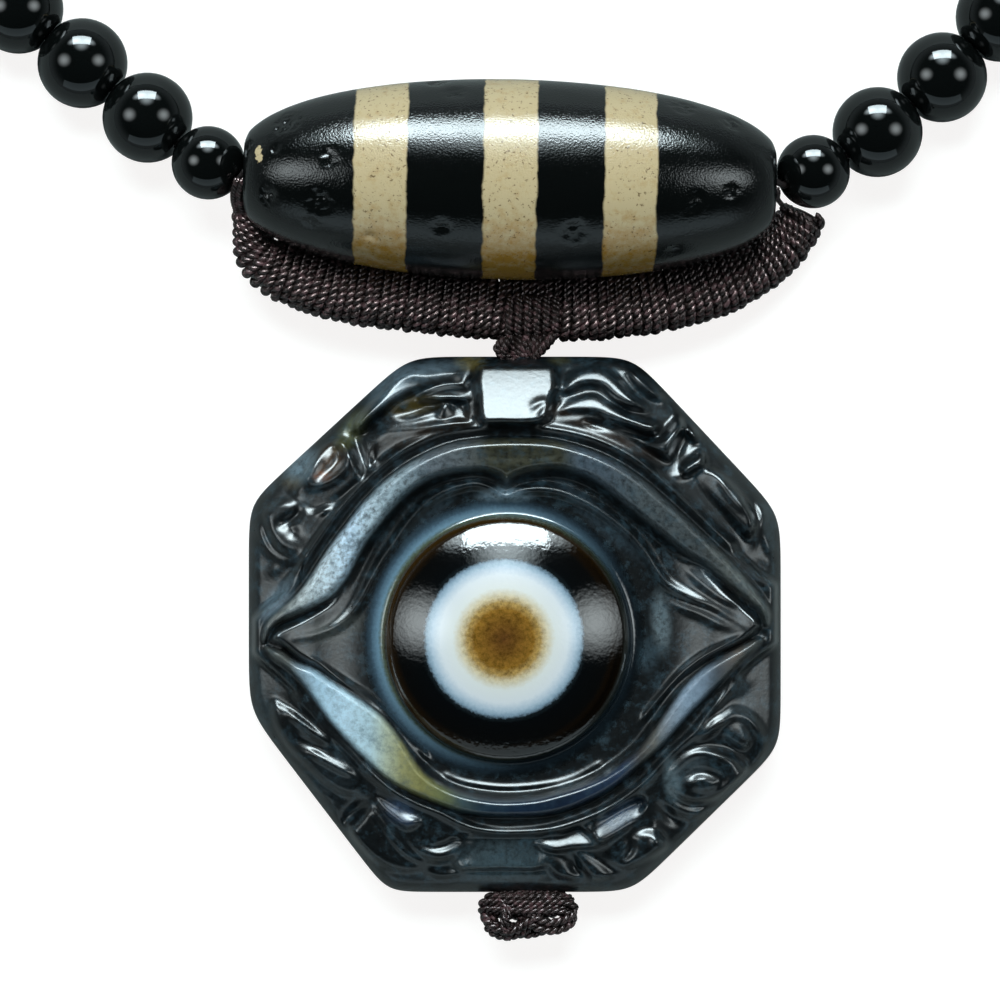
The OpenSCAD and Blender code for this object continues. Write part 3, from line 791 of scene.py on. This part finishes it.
# The cuts of the face, in the order that they are made. A row of four is a pad: its outline,
# the height of its middle, its rise to +X and +Y, and the width of its rounded edge. A row
# of three is a ridge: its line, height and width. Places are pixels of the picture.

# top plate, bottom plate and the posts beside them
PLATES = [
    ([(478, 362), (500, 359), (530, 359), (555, 362), (558, 385), (553, 402), (545, 423), (500, 425),
      (480, 423), (475, 400), (474, 378)], 9.9, (0, -0.55), 0.35),
    ([(466, 385), (477, 376), (479, 400), (477, 419), (467, 419)], 9.4, (-0.1, -0.2), 0.4),
    ([(561, 366), (560, 382), (555, 399)], 0.8, 0.3),
    ([(460, 838), (500, 834), (541, 836), (543, 852), (541, 869), (500, 870), (457, 869), (456, 852)],
     8.7, (0, 0.02), 0.3),
    ([(455, 871), (500, 871), (541, 871), (542, 880), (541, 887), (500, 888), (452, 887), (452, 880)],
     7.5, (0, 0.6), 0.25),
]
# leaves of the upper left corner
UPPER_LEFT_LEAVES = [
    ([(398, 368), (420, 362), (445, 363), (466, 369), (468, 379), (450, 382), (425, 389), (405, 397),
      (388, 409), (370, 425), (360, 433), (352, 425), (362, 411), (380, 391)], 8.7, (-0.12, -0.32), 0.7),
    ([(402, 380), (412, 376), (425, 377), (445, 374), (466, 371)], 0.45, 0.3),
    ([(368, 424), (390, 403), (412, 391), (440, 383), (466, 377)], 0.45, 0.3),
    ([(418, 399), (436, 389), (455, 386), (467, 389), (468, 402), (452, 401), (436, 402)],
     9.5, (0, -0.55), 0.25),
    ([(383, 421), (391, 408), (402, 400), (416, 400), (430, 402), (444, 401), (436, 410), (422, 416),
      (404, 421)], 8.0, (-0.1, 0.25), 0.5),
    ([(385, 420), (400, 419), (415, 416), (428, 410), (442, 401), (455, 400), (466, 406)], 0.6, 0.27),
    ([(440, 405), (450, 402), (454, 417), (440, 419)], 9.4, (-0.4, 0), 0.3),
    ([(383, 428), (400, 425), (425, 423), (455, 420), (480, 422), (455, 428), (430, 434), (405, 445),
      (388, 458), (374, 470), (369, 456), (375, 440)], 9.3, (0.32, 0.05), 0.6),
    ([(350, 424), (357, 440), (363, 456), (368, 474)], -1.0, 0.32),
    ([(358, 436), (365, 452), (370, 470)], 0.7, 0.2),
    ([(338, 438), (350, 446), (359, 462), (365, 477), (350, 493), (330, 506), (312, 512), (298, 505),
      (291, 492), (300, 477), (318, 457)], 9.0, (0.24, 0.02), 0.7),
    ([(343, 446), (350, 456), (357, 466)], 0.6, 0.22),
    ([(302, 479), (308, 462), (320, 447), (333, 440), (343, 446), (346, 458), (339, 470), (323, 481),
      (310, 485)], 8.3, (-0.2, -0.3), 0.6),
    ([(302, 484), (312, 486), (325, 483), (338, 476), (347, 466)], 0.5, 0.25),
    ([(310, 478), (317, 465), (322, 450)], 0.4, 0.3),
    ([(326, 470), (330, 456), (330, 446)], 0.3, 0.25),
    ([(261, 513), (271, 503), (285, 497), (300, 500), (315, 510), (327, 505), (341, 504), (336, 520),
      (325, 538), (310, 553), (293, 557), (278, 551), (267, 536)], 8.9, (0.2, -0.15), 0.8),
    ([(293, 502), (297, 514), (286, 522), (274, 527)], -0.9, 0.35),
    ([(283, 525), (293, 532), (303, 538)], -0.9, 0.4),
    ([(313, 512), (323, 511), (334, 505)], 0.6, 0.25),
    ([(257, 518), (261, 535), (269, 550), (283, 559), (300, 558), (314, 550)], 0.5, 0.28),
    ([(262, 575), (276, 568), (290, 566)], 0.35, 0.4),
]
# leaves of the upper right corner
UPPER_RIGHT_LEAVES = [
    ([(560, 394), (566, 378), (578, 369), (597, 366), (611, 372), (623, 384), (635, 397), (647, 408),
      (630, 409), (612, 399), (600, 388), (585, 386), (572, 392)], 9.2, (0.05, -0.52), 0.4),
    ([(574, 396), (588, 389), (600, 392), (604, 400), (592, 395)], 8.1, (0, 0), 0.3),
    ([(556, 414), (566, 402), (580, 396), (596, 394), (607, 401), (625, 412), (645, 419), (660, 425),
      (653, 435), (632, 429), (610, 421), (595, 414), (575, 413)], 9.7, (0.08, -0.52), 0.38),
    ([(638, 424), (650, 437)], 0.4, 0.16),
    ([(646, 421), (657, 434)], 0.4, 0.16),
    ([(538, 424), (546, 410), (556, 402), (566, 398)], 0.6, 0.26),
    ([(528, 412), (538, 403), (552, 400)], 0.45, 0.22),
    ([(627, 370), (640, 372), (653, 383), (668, 397), (655, 399), (642, 392), (633, 382)],
     8.2, (-0.2, -0.35), 0.4),
    ([(627, 370), (640, 372), (653, 383), (668, 397)], 0.35, 0.2),
    ([(583, 420), (605, 424), (632, 435), (655, 438), (672, 425), (681, 417), (685, 428), (677, 445),
      (669, 460), (655, 454), (635, 442), (612, 433), (590, 427)], 9.8, (0.34, -0.1), 0.6),
    ([(685, 414), (683, 432), (677, 449), (668, 468)], -1.2, 0.5),
    ([(681, 469), (689, 460), (700, 451), (706, 455), (705, 465), (693, 471), (684, 475)],
     9.3, (0, -0.52), 0.25),
    ([(671, 477), (684, 475), (696, 468), (705, 461)], 0.5, 0.2),
    ([(686, 428), (695, 421), (705, 430), (699, 441), (688, 439)], 8.1, (0.1, 0.1), 0.5),
    ([(689, 475), (703, 466), (717, 469), (736, 486), (751, 507), (757, 526), (748, 538), (737, 529),
      (719, 509), (703, 492)], 9.2, (0.36, 0.02), 0.6),
    ([(718, 477), (726, 492), (736, 504), (746, 513)], 0.4, 0.2),
    ([(716, 471), (730, 479), (742, 493), (750, 508)], 0.4, 0.2),
    ([(759, 496), (762, 515), (758, 530), (749, 547)], 0.6, 0.3),
    ([(767, 503), (763, 525), (768, 545), (778, 560)], 0.45, 0.3),
    ([(748, 560), (762, 568), (777, 577)], 0.4, 0.3),
]
# leaves of the lower left corner
LOWER_LEFT_LEAVES = [
    ([(273, 699), (300, 714), (330, 737), (353, 764), (364, 786), (350, 797), (325, 787), (298, 762),
      (279, 738), (270, 718)], 8.5, (0.16, 0.12), 0.9),
    ([(284, 707), (292, 715), (305, 725), (318, 734), (336, 746)], 0.7, 0.32),
    ([(305, 747), (320, 757), (338, 767), (358, 776)], 0.7, 0.32),
    ([(290, 733), (310, 745), (330, 755)], -0.5, 0.4),
    ([(281, 756), (295, 765), (310, 780), (322, 793), (337, 801)], 0.45, 0.28),
    ([(336, 830), (348, 817), (360, 807), (372, 799)], -1.3, 0.45),
    ([(346, 831), (358, 816), (371, 807), (381, 822), (393, 841), (409, 857), (430, 867), (410, 873),
      (384, 869), (360, 852)], 8.3, (0, 0.12), 0.9),
    ([(370, 805), (381, 822), (394, 841), (411, 856), (432, 866)], 0.5, 0.24),
    ([(376, 792), (390, 799), (405, 811), (422, 820), (408, 828), (392, 819), (379, 806)],
     9.3, (0.1, -0.4), 0.35),
    ([(407, 829), (418, 820), (435, 817), (452, 823), (467, 832), (472, 843), (461, 856), (442, 864),
      (424, 860), (411, 847)], 9.1, (0, 0.02), 1.0),
    ([(411, 832), (424, 842), (441, 846), (458, 838), (466, 830)], -0.7, 0.32),
    ([(413, 838), (426, 842), (440, 845)], 0.5, 0.18),
    ([(449, 832), (458, 837), (469, 834)], 0.5, 0.2),
    ([(424, 868), (440, 875), (460, 870), (474, 856)], 0.45, 0.26),
]
# the scroll and the leaves of the lower right corner
LOWER_RIGHT_SCROLL = [
    ([(668, 792), (661, 775), (667, 759), (682, 749), (700, 745), (726, 749), (746, 764), (750, 776),
      (736, 791), (710, 803), (687, 804)], 9.3, (0.02, 0.04), 1.0),
    ([(688, 742), (705, 729), (725, 718), (745, 719), (758, 733), (762, 751), (757, 771), (744, 789),
      (725, 803), (700, 813), (680, 809), (664, 797)], 0.75, 0.4),
    ([(666, 777), (679, 763), (692, 754), (706, 752), (724, 757), (744, 765)], 0.6, 0.3),
    ([(682, 779), (700, 771), (720, 778), (716, 790), (697, 794), (684, 786)], -0.7, 0.32),
    ([(690, 782), (703, 779), (712, 784)], 0.4, 0.22),
    ([(721, 729), (735, 721), (746, 727), (751, 743), (742, 749), (727, 739)], 8.9, (-0.3, 0.1), 0.35),
    ([(703, 737), (716, 725), (733, 717)], 0.5, 0.24),
    ([(722, 711), (738, 711), (752, 720), (764, 738)], 0.4, 0.24),
    ([(728, 695), (742, 686), (752, 680)], 0.4, 0.3),
    ([(590, 840), (599, 820), (618, 805), (640, 796), (647, 806), (631, 826), (612, 839), (600, 844)],
     9.1, (-0.15, -0.45), 0.5),
    ([(592, 838), (592, 826), (600, 814)], 0.4, 0.22),
    ([(536, 841), (558, 835), (578, 826), (590, 834), (600, 846), (575, 849), (555, 852), (543, 848)],
     9.1, (0, -0.52), 0.35),
    ([(543, 854), (560, 856), (573, 868), (583, 880), (560, 880), (547, 869)], 8.2, (-0.1, 0.2), 0.6),
    ([(573, 850), (590, 855), (606, 867), (614, 877), (595, 882), (582, 870)], 8.4, (-0.1, 0.2), 0.6),
    ([(602, 850), (622, 838), (645, 828), (662, 834), (669, 848), (650, 861), (625, 870), (608, 863)],
     8.6, (0.1, 0.15), 0.8),
    ([(627, 834), (631, 848), (619, 864)], -0.7, 0.28),
    ([(571, 848), (574, 862), (578, 878)], -0.7, 0.28),
    ([(651, 818), (656, 835), (652, 852)], 0.5, 0.26),
    ([(655, 800), (668, 815), (684, 828)], -0.8, 0.4),
    ([(612, 874), (640, 868), (668, 855), (690, 838)], 0.35, 0.4),
]
# the eye: the lips round its field, and each lid from its crest to its foot
UPPER_LIP = [
    (250, 618), (262, 606), (280, 592), (296, 575), (308, 556), (322, 535), (340, 510), (360, 487),
    (385, 463), (410, 447), (440, 434), (475, 428), (505, 426), (540, 428), (575, 434), (605, 444),
    (635, 460), (665, 484), (690, 507), (715, 531), (740, 552), (760, 570), (780, 583),
]
LOWER_LIP = [
    (250, 655), (270, 672), (290, 690), (310, 710), (325, 728), (345, 748), (365, 768), (390, 788),
    (415, 802), (440, 812), (460, 822), (480, 829), (505, 832), (540, 830), (570, 823), (600, 811),
    (620, 800), (640, 785), (655, 770), (672, 752), (690, 735), (708, 713), (725, 694), (745, 672),
    (765, 655), (780, 645),
]
UPPER_CREST = [
    (262, 642), (264, 625), (275, 612), (292, 598), (305, 583), (318, 563), (330, 545), (345, 525),
    (362, 503), (380, 484), (400, 468), (420, 456), (440, 447), (465, 440), (505, 437), (545, 438),
    (570, 443), (595, 451), (620, 463), (645, 480), (668, 500), (690, 520), (712, 541), (732, 561),
    (750, 581), (763, 597), (770, 612), (769, 626),
]
UPPER_FOOT = [
    (268, 640), (277, 626), (300, 615), (320, 605), (335, 595), (348, 579), (358, 560), (368, 542),
    (380, 527), (393, 511), (407, 497), (422, 486), (440, 478), (460, 474), (482, 473), (497, 477),
    (506, 483), (516, 478), (532, 473), (555, 471), (575, 475), (592, 482), (608, 493), (626, 508),
    (645, 523), (665, 540), (685, 556), (705, 568), (725, 585), (745, 603), (757, 614), (762, 626),
]
LOWER_CREST = [
    (283, 648), (298, 660), (315, 667), (331, 678), (348, 689), (366, 701), (386, 717), (405, 741),
    (422, 767), (440, 781), (460, 790), (482, 795), (505, 797), (535, 795), (560, 789), (582, 782),
    (602, 773), (622, 760), (641, 743), (656, 723), (669, 704), (682, 686), (700, 668), (720, 655),
    (738, 645), (753, 637),
]
LOWER_FOOT = [
    (262, 644), (272, 658), (287, 669), (302, 684), (316, 703), (330, 722), (350, 744), (370, 764),
    (387, 779), (403, 789), (420, 797), (440, 805), (460, 812), (482, 816), (505, 817), (540, 816),
    (565, 811), (590, 801), (615, 787), (638, 768), (655, 753), (671, 736), (690, 714), (706, 698),
    (722, 682), (737, 666), (752, 652), (766, 638),
]
# creases on the lids and folds beside them; a fourth number is the length of the taper
EYE_FOLDS = [
    ([(478, 455), (505, 458), (540, 457), (562, 454)], -0.12, 0.25),
    ([(296, 637), (316, 634), (336, 626), (351, 614), (362, 599), (373, 578), (383, 560), (395, 543),
      (408, 524), (425, 505), (440, 494), (458, 487), (475, 484), (490, 488), (505, 496), (520, 491),
      (540, 489), (560, 492), (578, 499), (595, 508), (612, 520), (630, 535), (645, 553), (657, 572),
      (668, 585), (690, 597), (712, 606), (730, 617), (744, 625)], 0.6, 0.42, 22),
    ([(662, 596), (680, 606), (700, 614), (718, 623), (737, 629)], 0.25, 0.35, 8),
    ([(680, 563), (700, 582), (720, 597), (747, 607)], 0.22, 0.3, 8),
    ([(303, 656), (320, 666), (335, 676), (352, 687), (374, 701), (395, 722), (415, 745), (432, 762)],
     0.4, 0.28),
    ([(640, 722), (660, 697), (680, 674), (698, 659), (714, 650), (730, 643), (750, 636)], 0.45, 0.26),
    ([(440, 772), (465, 782), (505, 787), (545, 784), (575, 776), (605, 760)], 0.22, 0.2),
]

spokes = 720
a = np.arange(spokes) * 2 * math.pi / spokes
rim = rim_radius(a)
radii = [np.full(spokes, DOME_RADIUS * t) for t in np.linspace(0, 1, 19)[1:]]
radii += [DOME_RADIUS + (rim - DOME_RADIUS) * t for t in np.linspace(0, 1, 111)[1:]]
radii = np.array(radii)
x = (DOME[0] + radii * np.cos(a)).ravel()
y = (DOME[1] + radii * np.sin(a)).ravel()
edge = (rim - radii).ravel()
ground = FACE_HEIGHT + 0.44 * np.minimum(edge, 6)
face = Face(x, y, ground.copy())
face.depth = 0.7  # the corners' ridges are shallower than the eye's
for cut in PLATES + UPPER_LEFT_LEAVES + UPPER_RIGHT_LEAVES + LOWER_LEFT_LEAVES + LOWER_RIGHT_SCROLL:
    if len(cut) == 4:
        face.pad(*cut)
    else:
        face.ridge(*cut)
# towards the rim the cuts fade out and the edge is rounded over
keep = ease((edge - 0.15) / 0.9)
face.z = ground + (face.z - ground) * keep - 1.0 * np.maximum(0, 1 - edge / 1.1) ** 2


def polished_off(z, passes):
    """Rounds every edge of the face a little, as the polishing felt does."""
    grid = z.reshape(len(radii), spokes)
    for _ in range(passes):
        grid = 0.5 * grid + 0.25 * (np.roll(grid, 1, 1) + np.roll(grid, -1, 1))
        grid[1:-1] = 0.5 * grid[1:-1] + 0.25 * (grid[:-2] + grid[2:])
    return grid.ravel()


face.z = polished_off(face.z, passes=2)

# the eye: a sunk field with a raised lip, two lids, the folds beside them and the dome
face.depth = 1.0
upper, lower = traced(UPPER_LIP), traced(LOWER_LIP)
outline = np.vstack([upper, lower[::-1], upper[:1]])
away = np.maximum(0, np.abs(x - 0.3) - 12.6)
field = FIELD_HEIGHT + 0.1 * away + 0.05 * away ** 2 - 0.9 * ease((np.abs(x) - 17.5) / 4)
some, gap, inside = face.near(outline, 0.1)
some, gap = some[inside], gap[inside]
side = ease((edge[some] + 0.6) / 1.8)
lip_ground = LIP_HEIGHT * side + LIP_END_HEIGHT * (1 - side)
face.z[some] += (lip_ground - face.z[some]) * ease(gap / 0.55)
inner = np.vstack([traced(UPPER_FOOT), traced(LOWER_CREST)[::-1], traced(UPPER_FOOT)[:1]])
some, gap, inside = face.near(inner, 0.1)
some, gap = some[inside], gap[inside]
face.z[some] += (field[some] - face.z[some]) * ease((gap + 0.1) / 0.8)
face.ridge(UPPER_LIP[2:-2], height=0.5, width=0.3)
face.ridge(LOWER_LIP[2:-2], height=0.4, width=0.3)
on_upper, upper_share = face.band(UPPER_CREST, UPPER_FOOT, top=11.3, fall=0.24, edge=0.8)
on_lower, lower_share = face.band(LOWER_CREST, LOWER_FOOT, top=10.7, fall=0.2, edge=0.6)
for fold in EYE_FOLDS:
    face.ridge(*fold)
face.z = polished_off(face.z, passes=1)
r = radii.ravel()
dome = np.sqrt(DOME_CURVE ** 2 - np.minimum(r, DOME_RADIUS + 0.3) ** 2) - DOME_CURVE + DOME_TOP
dome_foot = DOME_TOP - (DOME_CURVE - math.sqrt(DOME_CURVE ** 2 - DOME_RADIUS ** 2))
step = ease((r - DOME_RADIUS) / RING_WIDTH)
ring = dome_foot - 0.85 * np.sqrt(np.clip(1 - (1 - np.clip((r - DOME_RADIUS) / 0.6, 0, 1)) ** 2, 0, 1))
outside = np.where(r < DOME_RADIUS + RING_WIDTH, ring + (face.z - ring) * step, face.z)
face.z = np.where(r <= DOME_RADIUS, dome, outside)

# the slab's side and its rounded back edge: how far in from the rim, and how high
layers = [np.stack([x, y, face.z], 1)]
for inset, z in ((0, 3.5), (0, 0.7), (0.25, 0.2), (0.7, 0.0)):
    out = rim - inset
    layers.append(np.stack([DOME[0] + out * np.cos(a), DOME[1] + out * np.sin(a), np.full(spokes, z)], 1))
v = np.vstack(layers + [np.array([[DOME[0], DOME[1], DOME_TOP], [DOME[0], DOME[1], 0.0]])])
n_layers = len(v) // spokes
f = []
for i in range(n_layers - 1):
    for k in range(spokes):
        m = (k + 1) % spokes
        f.append((i * spokes + k, (i + 1) * spokes + k, (i + 1) * spokes + m, i * spokes + m))
top, base = len(v) - 2, len(v) - 1
for k in range(spokes):
    m = (k + 1) % spokes
    f.append((top, k, m))
    f.append((base, (n_layers - 1) * spokes + m, (n_layers - 1) * spokes + k))
local = v.copy()
v[:, :2] = v[:, :2] * PENDANT_SCALE + PENDANT
pendant = new_piece("pendant_carved", to_frame(v), f)

# The stone's layers: the black body shows blue-white, grey-blue, olive and brown where
# the cuts go through its bands. Each zone is an oval with a soft, speckled edge: colour,
# middle, half-lengths, turn and strength. The lids' bands change hue along the picture's x.
ZONES = [
    ("#5f7886", 505, 496, 24, 7, 0, 0.8), ("#2a3942", 600, 520, 60, 9, -42, 0.5),
    ("#2a3942", 420, 530, 50, 9, 50, 0.5), ("#56686f", 661, 622, 9, 28, 4, 0.8),
    ("#31454f", 646, 655, 12, 16, 0, 0.5), ("#27343b", 702, 578, 16, 14, 0, 0.6),
    ("#454d4b", 335, 628, 30, 12, 15, 0.5), ("#3c2a12", 330, 462, 12, 20, -30, 0.8),
    ("#6a3b14", 322, 476, 8, 5, 0, 0.7), ("#3a3413", 415, 406, 24, 9, 12, 0.8),
    ("#54502c", 470, 362, 14, 8, 0, 0.8), ("#4a4a2c", 560, 360, 10, 5, 0, 0.7),
    ("#566c78", 420, 372, 40, 9, 10, 0.6), ("#6f8b99", 300, 465, 14, 18, -35, 0.55),
    ("#5c6440", 352, 430, 10, 22, -35, 0.55), ("#5f7784", 390, 385, 14, 26, -50, 0.55),
    ("#433e2b", 292, 482, 9, 7, 0, 0.6), ("#617b8a", 276, 600, 9, 24, -40, 0.55),
    ("#4d5f66", 672, 780, 8, 22, 8, 0.9), ("#39464c", 690, 768, 16, 10, 20, 0.7),
    ("#2a3c52", 400, 812, 16, 12, -30, 0.8), ("#24384d", 620, 815, 22, 10, 35, 0.8),
    ("#324248", 500, 862, 42, 22, 0, 0.9), ("#37454c", 745, 705, 10, 20, 0, 0.4),
    ("#20180e", 430, 430, 55, 10, 18, 0.6), ("#24170a", 600, 432, 60, 6, -25, 0.6),
    ("#2b383d", 770, 520, 6, 30, 0, 0.6), ("#2b383d", 262, 700, 6, 40, 10, 0.6),
    ("#1f2b30", 600, 380, 60, 20, -20, 0.6), ("#1c262b", 320, 790, 20, 50, -40, 0.6),
]
UPPER_LAYERS = [
    (262, "#4c5252"), (285, "#6c7473"), (305, "#aabcc0"), (330, "#bcd6e2"), (350, "#b0d0e4"),
    (372, "#a2bcc8"), (400, "#839aa4"), (430, "#5d6a72"), (462, "#525c60"), (490, "#34372c"),
    (560, "#34372c"), (580, "#465662"), (605, "#414f59"), (640, "#434e52"), (700, "#3a4244"),
    (738, "#555d5b"), (765, "#3c4444"),
]
LOWER_LAYERS = [
    (264, "#3b4240"), (290, "#545b59"), (303, "#7b95a4"), (318, "#9bc1d5"), (345, "#b2d7e9"),
    (370, "#a7c9d4"), (386, "#9fb09e"), (402, "#878c62"), (422, "#76794b"), (442, "#616c49"),
    (462, "#3a4a4a"), (482, "#1a2c3a"), (520, "#14263a"), (560, "#101e30"), (600, "#1c2c42"),
    (622, "#25354c"), (640, "#393b3a"), (654, "#5b5f5c"), (668, "#72828e"), (685, "#7e97ab"),
    (702, "#6a8092"), (716, "#465058"), (735, "#5a5853"), (757, "#3c4342"),
]
BLACK_LAYER = "#080d0f"
BACK_LAYER = "#0b1113"
stone = np.tile(np.array(linear(BLACK_LAYER)[:3]), (len(local), 1))
speckled = np.full(len(local), 0.75)
u, w = local[:, 0] * PX_PER_MM + PENDANT_PX[0], PENDANT_PX[1] - local[:, 1] * PX_PER_MM
for hexa, cu, cw, ru, rw, turned, strength in ZONES:
    c, s = math.cos(math.radians(turned)), math.sin(math.radians(turned))
    du, dw = u - cu, w - cw
    d = np.hypot((c * du - s * dw) / ru, (s * du + c * dw) / rw)
    share = (strength * ease((1.5 - d) / 1.1))[:, None]
    stone = stone * (1 - share) + np.array(linear(hexa)[:3]) * share
for some, share, table, speckles in (
        (on_upper, upper_share, UPPER_LAYERS, 0.85), (on_lower, lower_share, LOWER_LAYERS, 0.3)):
    at = [picture_x for picture_x, _ in table]
    hues = np.array([linear(hexa)[:3] for _, hexa in table])
    layer_hue = np.stack([np.interp(u[some], at, hues[:, c]) for c in range(3)], 1)
    stone[some] += (layer_hue - stone[some]) * share[:, None]
    speckled[some] += (speckles - speckled[some]) * share
back = local[:, 2] < 5
stone[back] = linear(BACK_LAYER)[:3]
layer = pendant.data.color_attributes.new("stone_layers", "FLOAT_COLOR", "POINT")
layer.data.foreach_set("color", np.hstack([stone, speckled[:, None]]).ravel())

# Banded agate, wheel-polished: the rings of the dome are sharp layers round its middle,
# the zones are the stone's own colour, broken by fine speckles and cloudy grain; tiny
# pits and wheel marks take the edge off the gloss.

# each ring of the dome: its radius and its colour
RINGS = [
    (0.0, "#573a1b"), (1.4, "#664a1c"), (2.6, "#7d5f24"), (3.2, "#a08a52"), (3.8, "#c6c4a8"),
    (4.5, "#d3e0df"), (5.6, "#d0dfe5"), (6.3, "#a9c3d3"), (6.75, "#7d9cb0"), (7.05, "#151e22"),
    (7.4, "#05080a"), (9.3, "#060707"), (9.9, "#1b1206"), (10.4, "#332408"), (10.75, "#49584a"),
    (11.1, "#5f8296"), (11.7, "#3c5464"), (12.6, "#10181c"),
]
RING_SCALE = 0.075
banded, add = new_material("banded_agate_polished")
coords = add("TexCoord")
mm = add("Mapping", {
    "Vector": coords.outputs["Object"], "Location": place(*(PENDANT + DOME * PENDANT_SCALE)),
    "Scale": (MM, MM, MM)}, vector_type="TEXTURE")
flatten = add("VectorMath", {0: mm, 1: (1, 1, 0)}, operation="MULTIPLY")
squeeze = add("VectorMath", {0: flatten, 1: (0.35, -0.1, 0)}, operation="ADD")
out = add("VectorMath", {0: squeeze}, operation="LENGTH")
grain = add("TexNoise", {"Vector": mm, "Scale": 3.4, "Detail": 4.0, "Roughness": 0.6})
fray = add("Math", {0: grain, 1: 0.5, 2: -0.25}, operation="MULTIPLY_ADD")
ringed = add("Math", {0: out, 1: fray}, operation="ADD")
scaled = add("Math", {0: ringed, 1: RING_SCALE}, operation="MULTIPLY")
rings_ramp = add("ValToRGB", {"Fac": scaled})
stops = rings_ramp.color_ramp.elements
stops[0].color = linear(RINGS[0][1])
stops[1].position = RINGS[-1][0] * RING_SCALE
stops[1].color = linear(RINGS[-1][1])
for radius, hexa in RINGS[1:-1]:
    stops.new(radius * RING_SCALE).color = linear(hexa)
zones = add("Attribute", attribute_name="stone_layers")
speckle = add("TexNoise", {"Vector": mm, "Scale": 1.9, "Detail": 8.0, "Roughness": 0.72})
broken = add("MapRange", {
    "Value": speckle, "From Min": 0.38, "From Max": 0.56, "To Min": -0.75, "To Max": 0.25})
broken = add("Math", {0: broken, 1: zones.outputs["Alpha"], 2: 1.0}, operation="MULTIPLY_ADD")
clouded = add("VectorMath", {0: zones.outputs["Color"], "Scale": broken}, operation="SCALE")
mist = add("TexNoise", {"Vector": mm, "Scale": 0.75, "Detail": 9.0, "Roughness": 0.78})
mist = add("MapRange", {"Value": mist, "From Min": 0.5, "From Max": 0.72, "To Max": 0.7})
clouded = add("Mix", {"Factor": mist, "A": clouded, "B": linear("#37505c")}, data_type="RGBA")
blue_side = add("VectorMath", {0: flatten, 1: (-0.045, 0.026, 0)}, operation="DOT_PRODUCT")
blue_share = add("MapRange", {
    "Value": blue_side, "From Min": -0.35, "From Max": 0.5, "To Min": 0.08, "To Max": 1.0})
past_black = add("MapRange", {"Value": ringed, "From Min": 9.4, "From Max": 10.0})
ring_light = add("Mix", {"Factor": past_black, "A": 1.0, "B": blue_share}, data_type="FLOAT")
iris = add("MapRange", {"Value": ringed, "From Min": 4.2, "From Max": 3.0})
iris_grain = add("MapRange", {
    "Value": speckle, "From Min": 0.36, "From Max": 0.62, "To Min": -0.5, "To Max": 0.35})
iris_grain = add("Math", {0: iris_grain, 1: iris, 2: 1.0}, operation="MULTIPLY_ADD")
ring_light = add("Math", {0: ring_light, 1: iris_grain}, operation="MULTIPLY")
rings_lit = add("VectorMath", {0: rings_ramp.outputs["Color"], "Scale": ring_light}, operation="SCALE")
outside = add("MapRange", {"Value": ringed, "From Min": 11.6, "From Max": 12.5})
layers_colour = add("Mix", {"Factor": outside, "A": rings_lit, "B": clouded}, data_type="RGBA")
pits = add("TexNoise", {"Vector": mm, "Scale": 2.6, "Detail": 1.0, "Roughness": 0.5})
pit_bump = add("Bump", {"Strength": 0.22, "Distance": 0.00005, "Height": pits})
haze = add("MapRange", {"Value": speckle, "To Min": 0.05, "To Max": 0.12})
haze = add("Math", {0: outside, 1: 0.2, 2: haze}, operation="MULTIPLY_ADD")
finish_material(banded, {
    "Base Color": layers_colour, "Roughness": haze, "IOR": 1.54, "Specular IOR Level": 0.7,
    "Normal": pit_bump})
pendant.data.materials.append(banded)
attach(pendant, "root")
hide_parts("pendant")
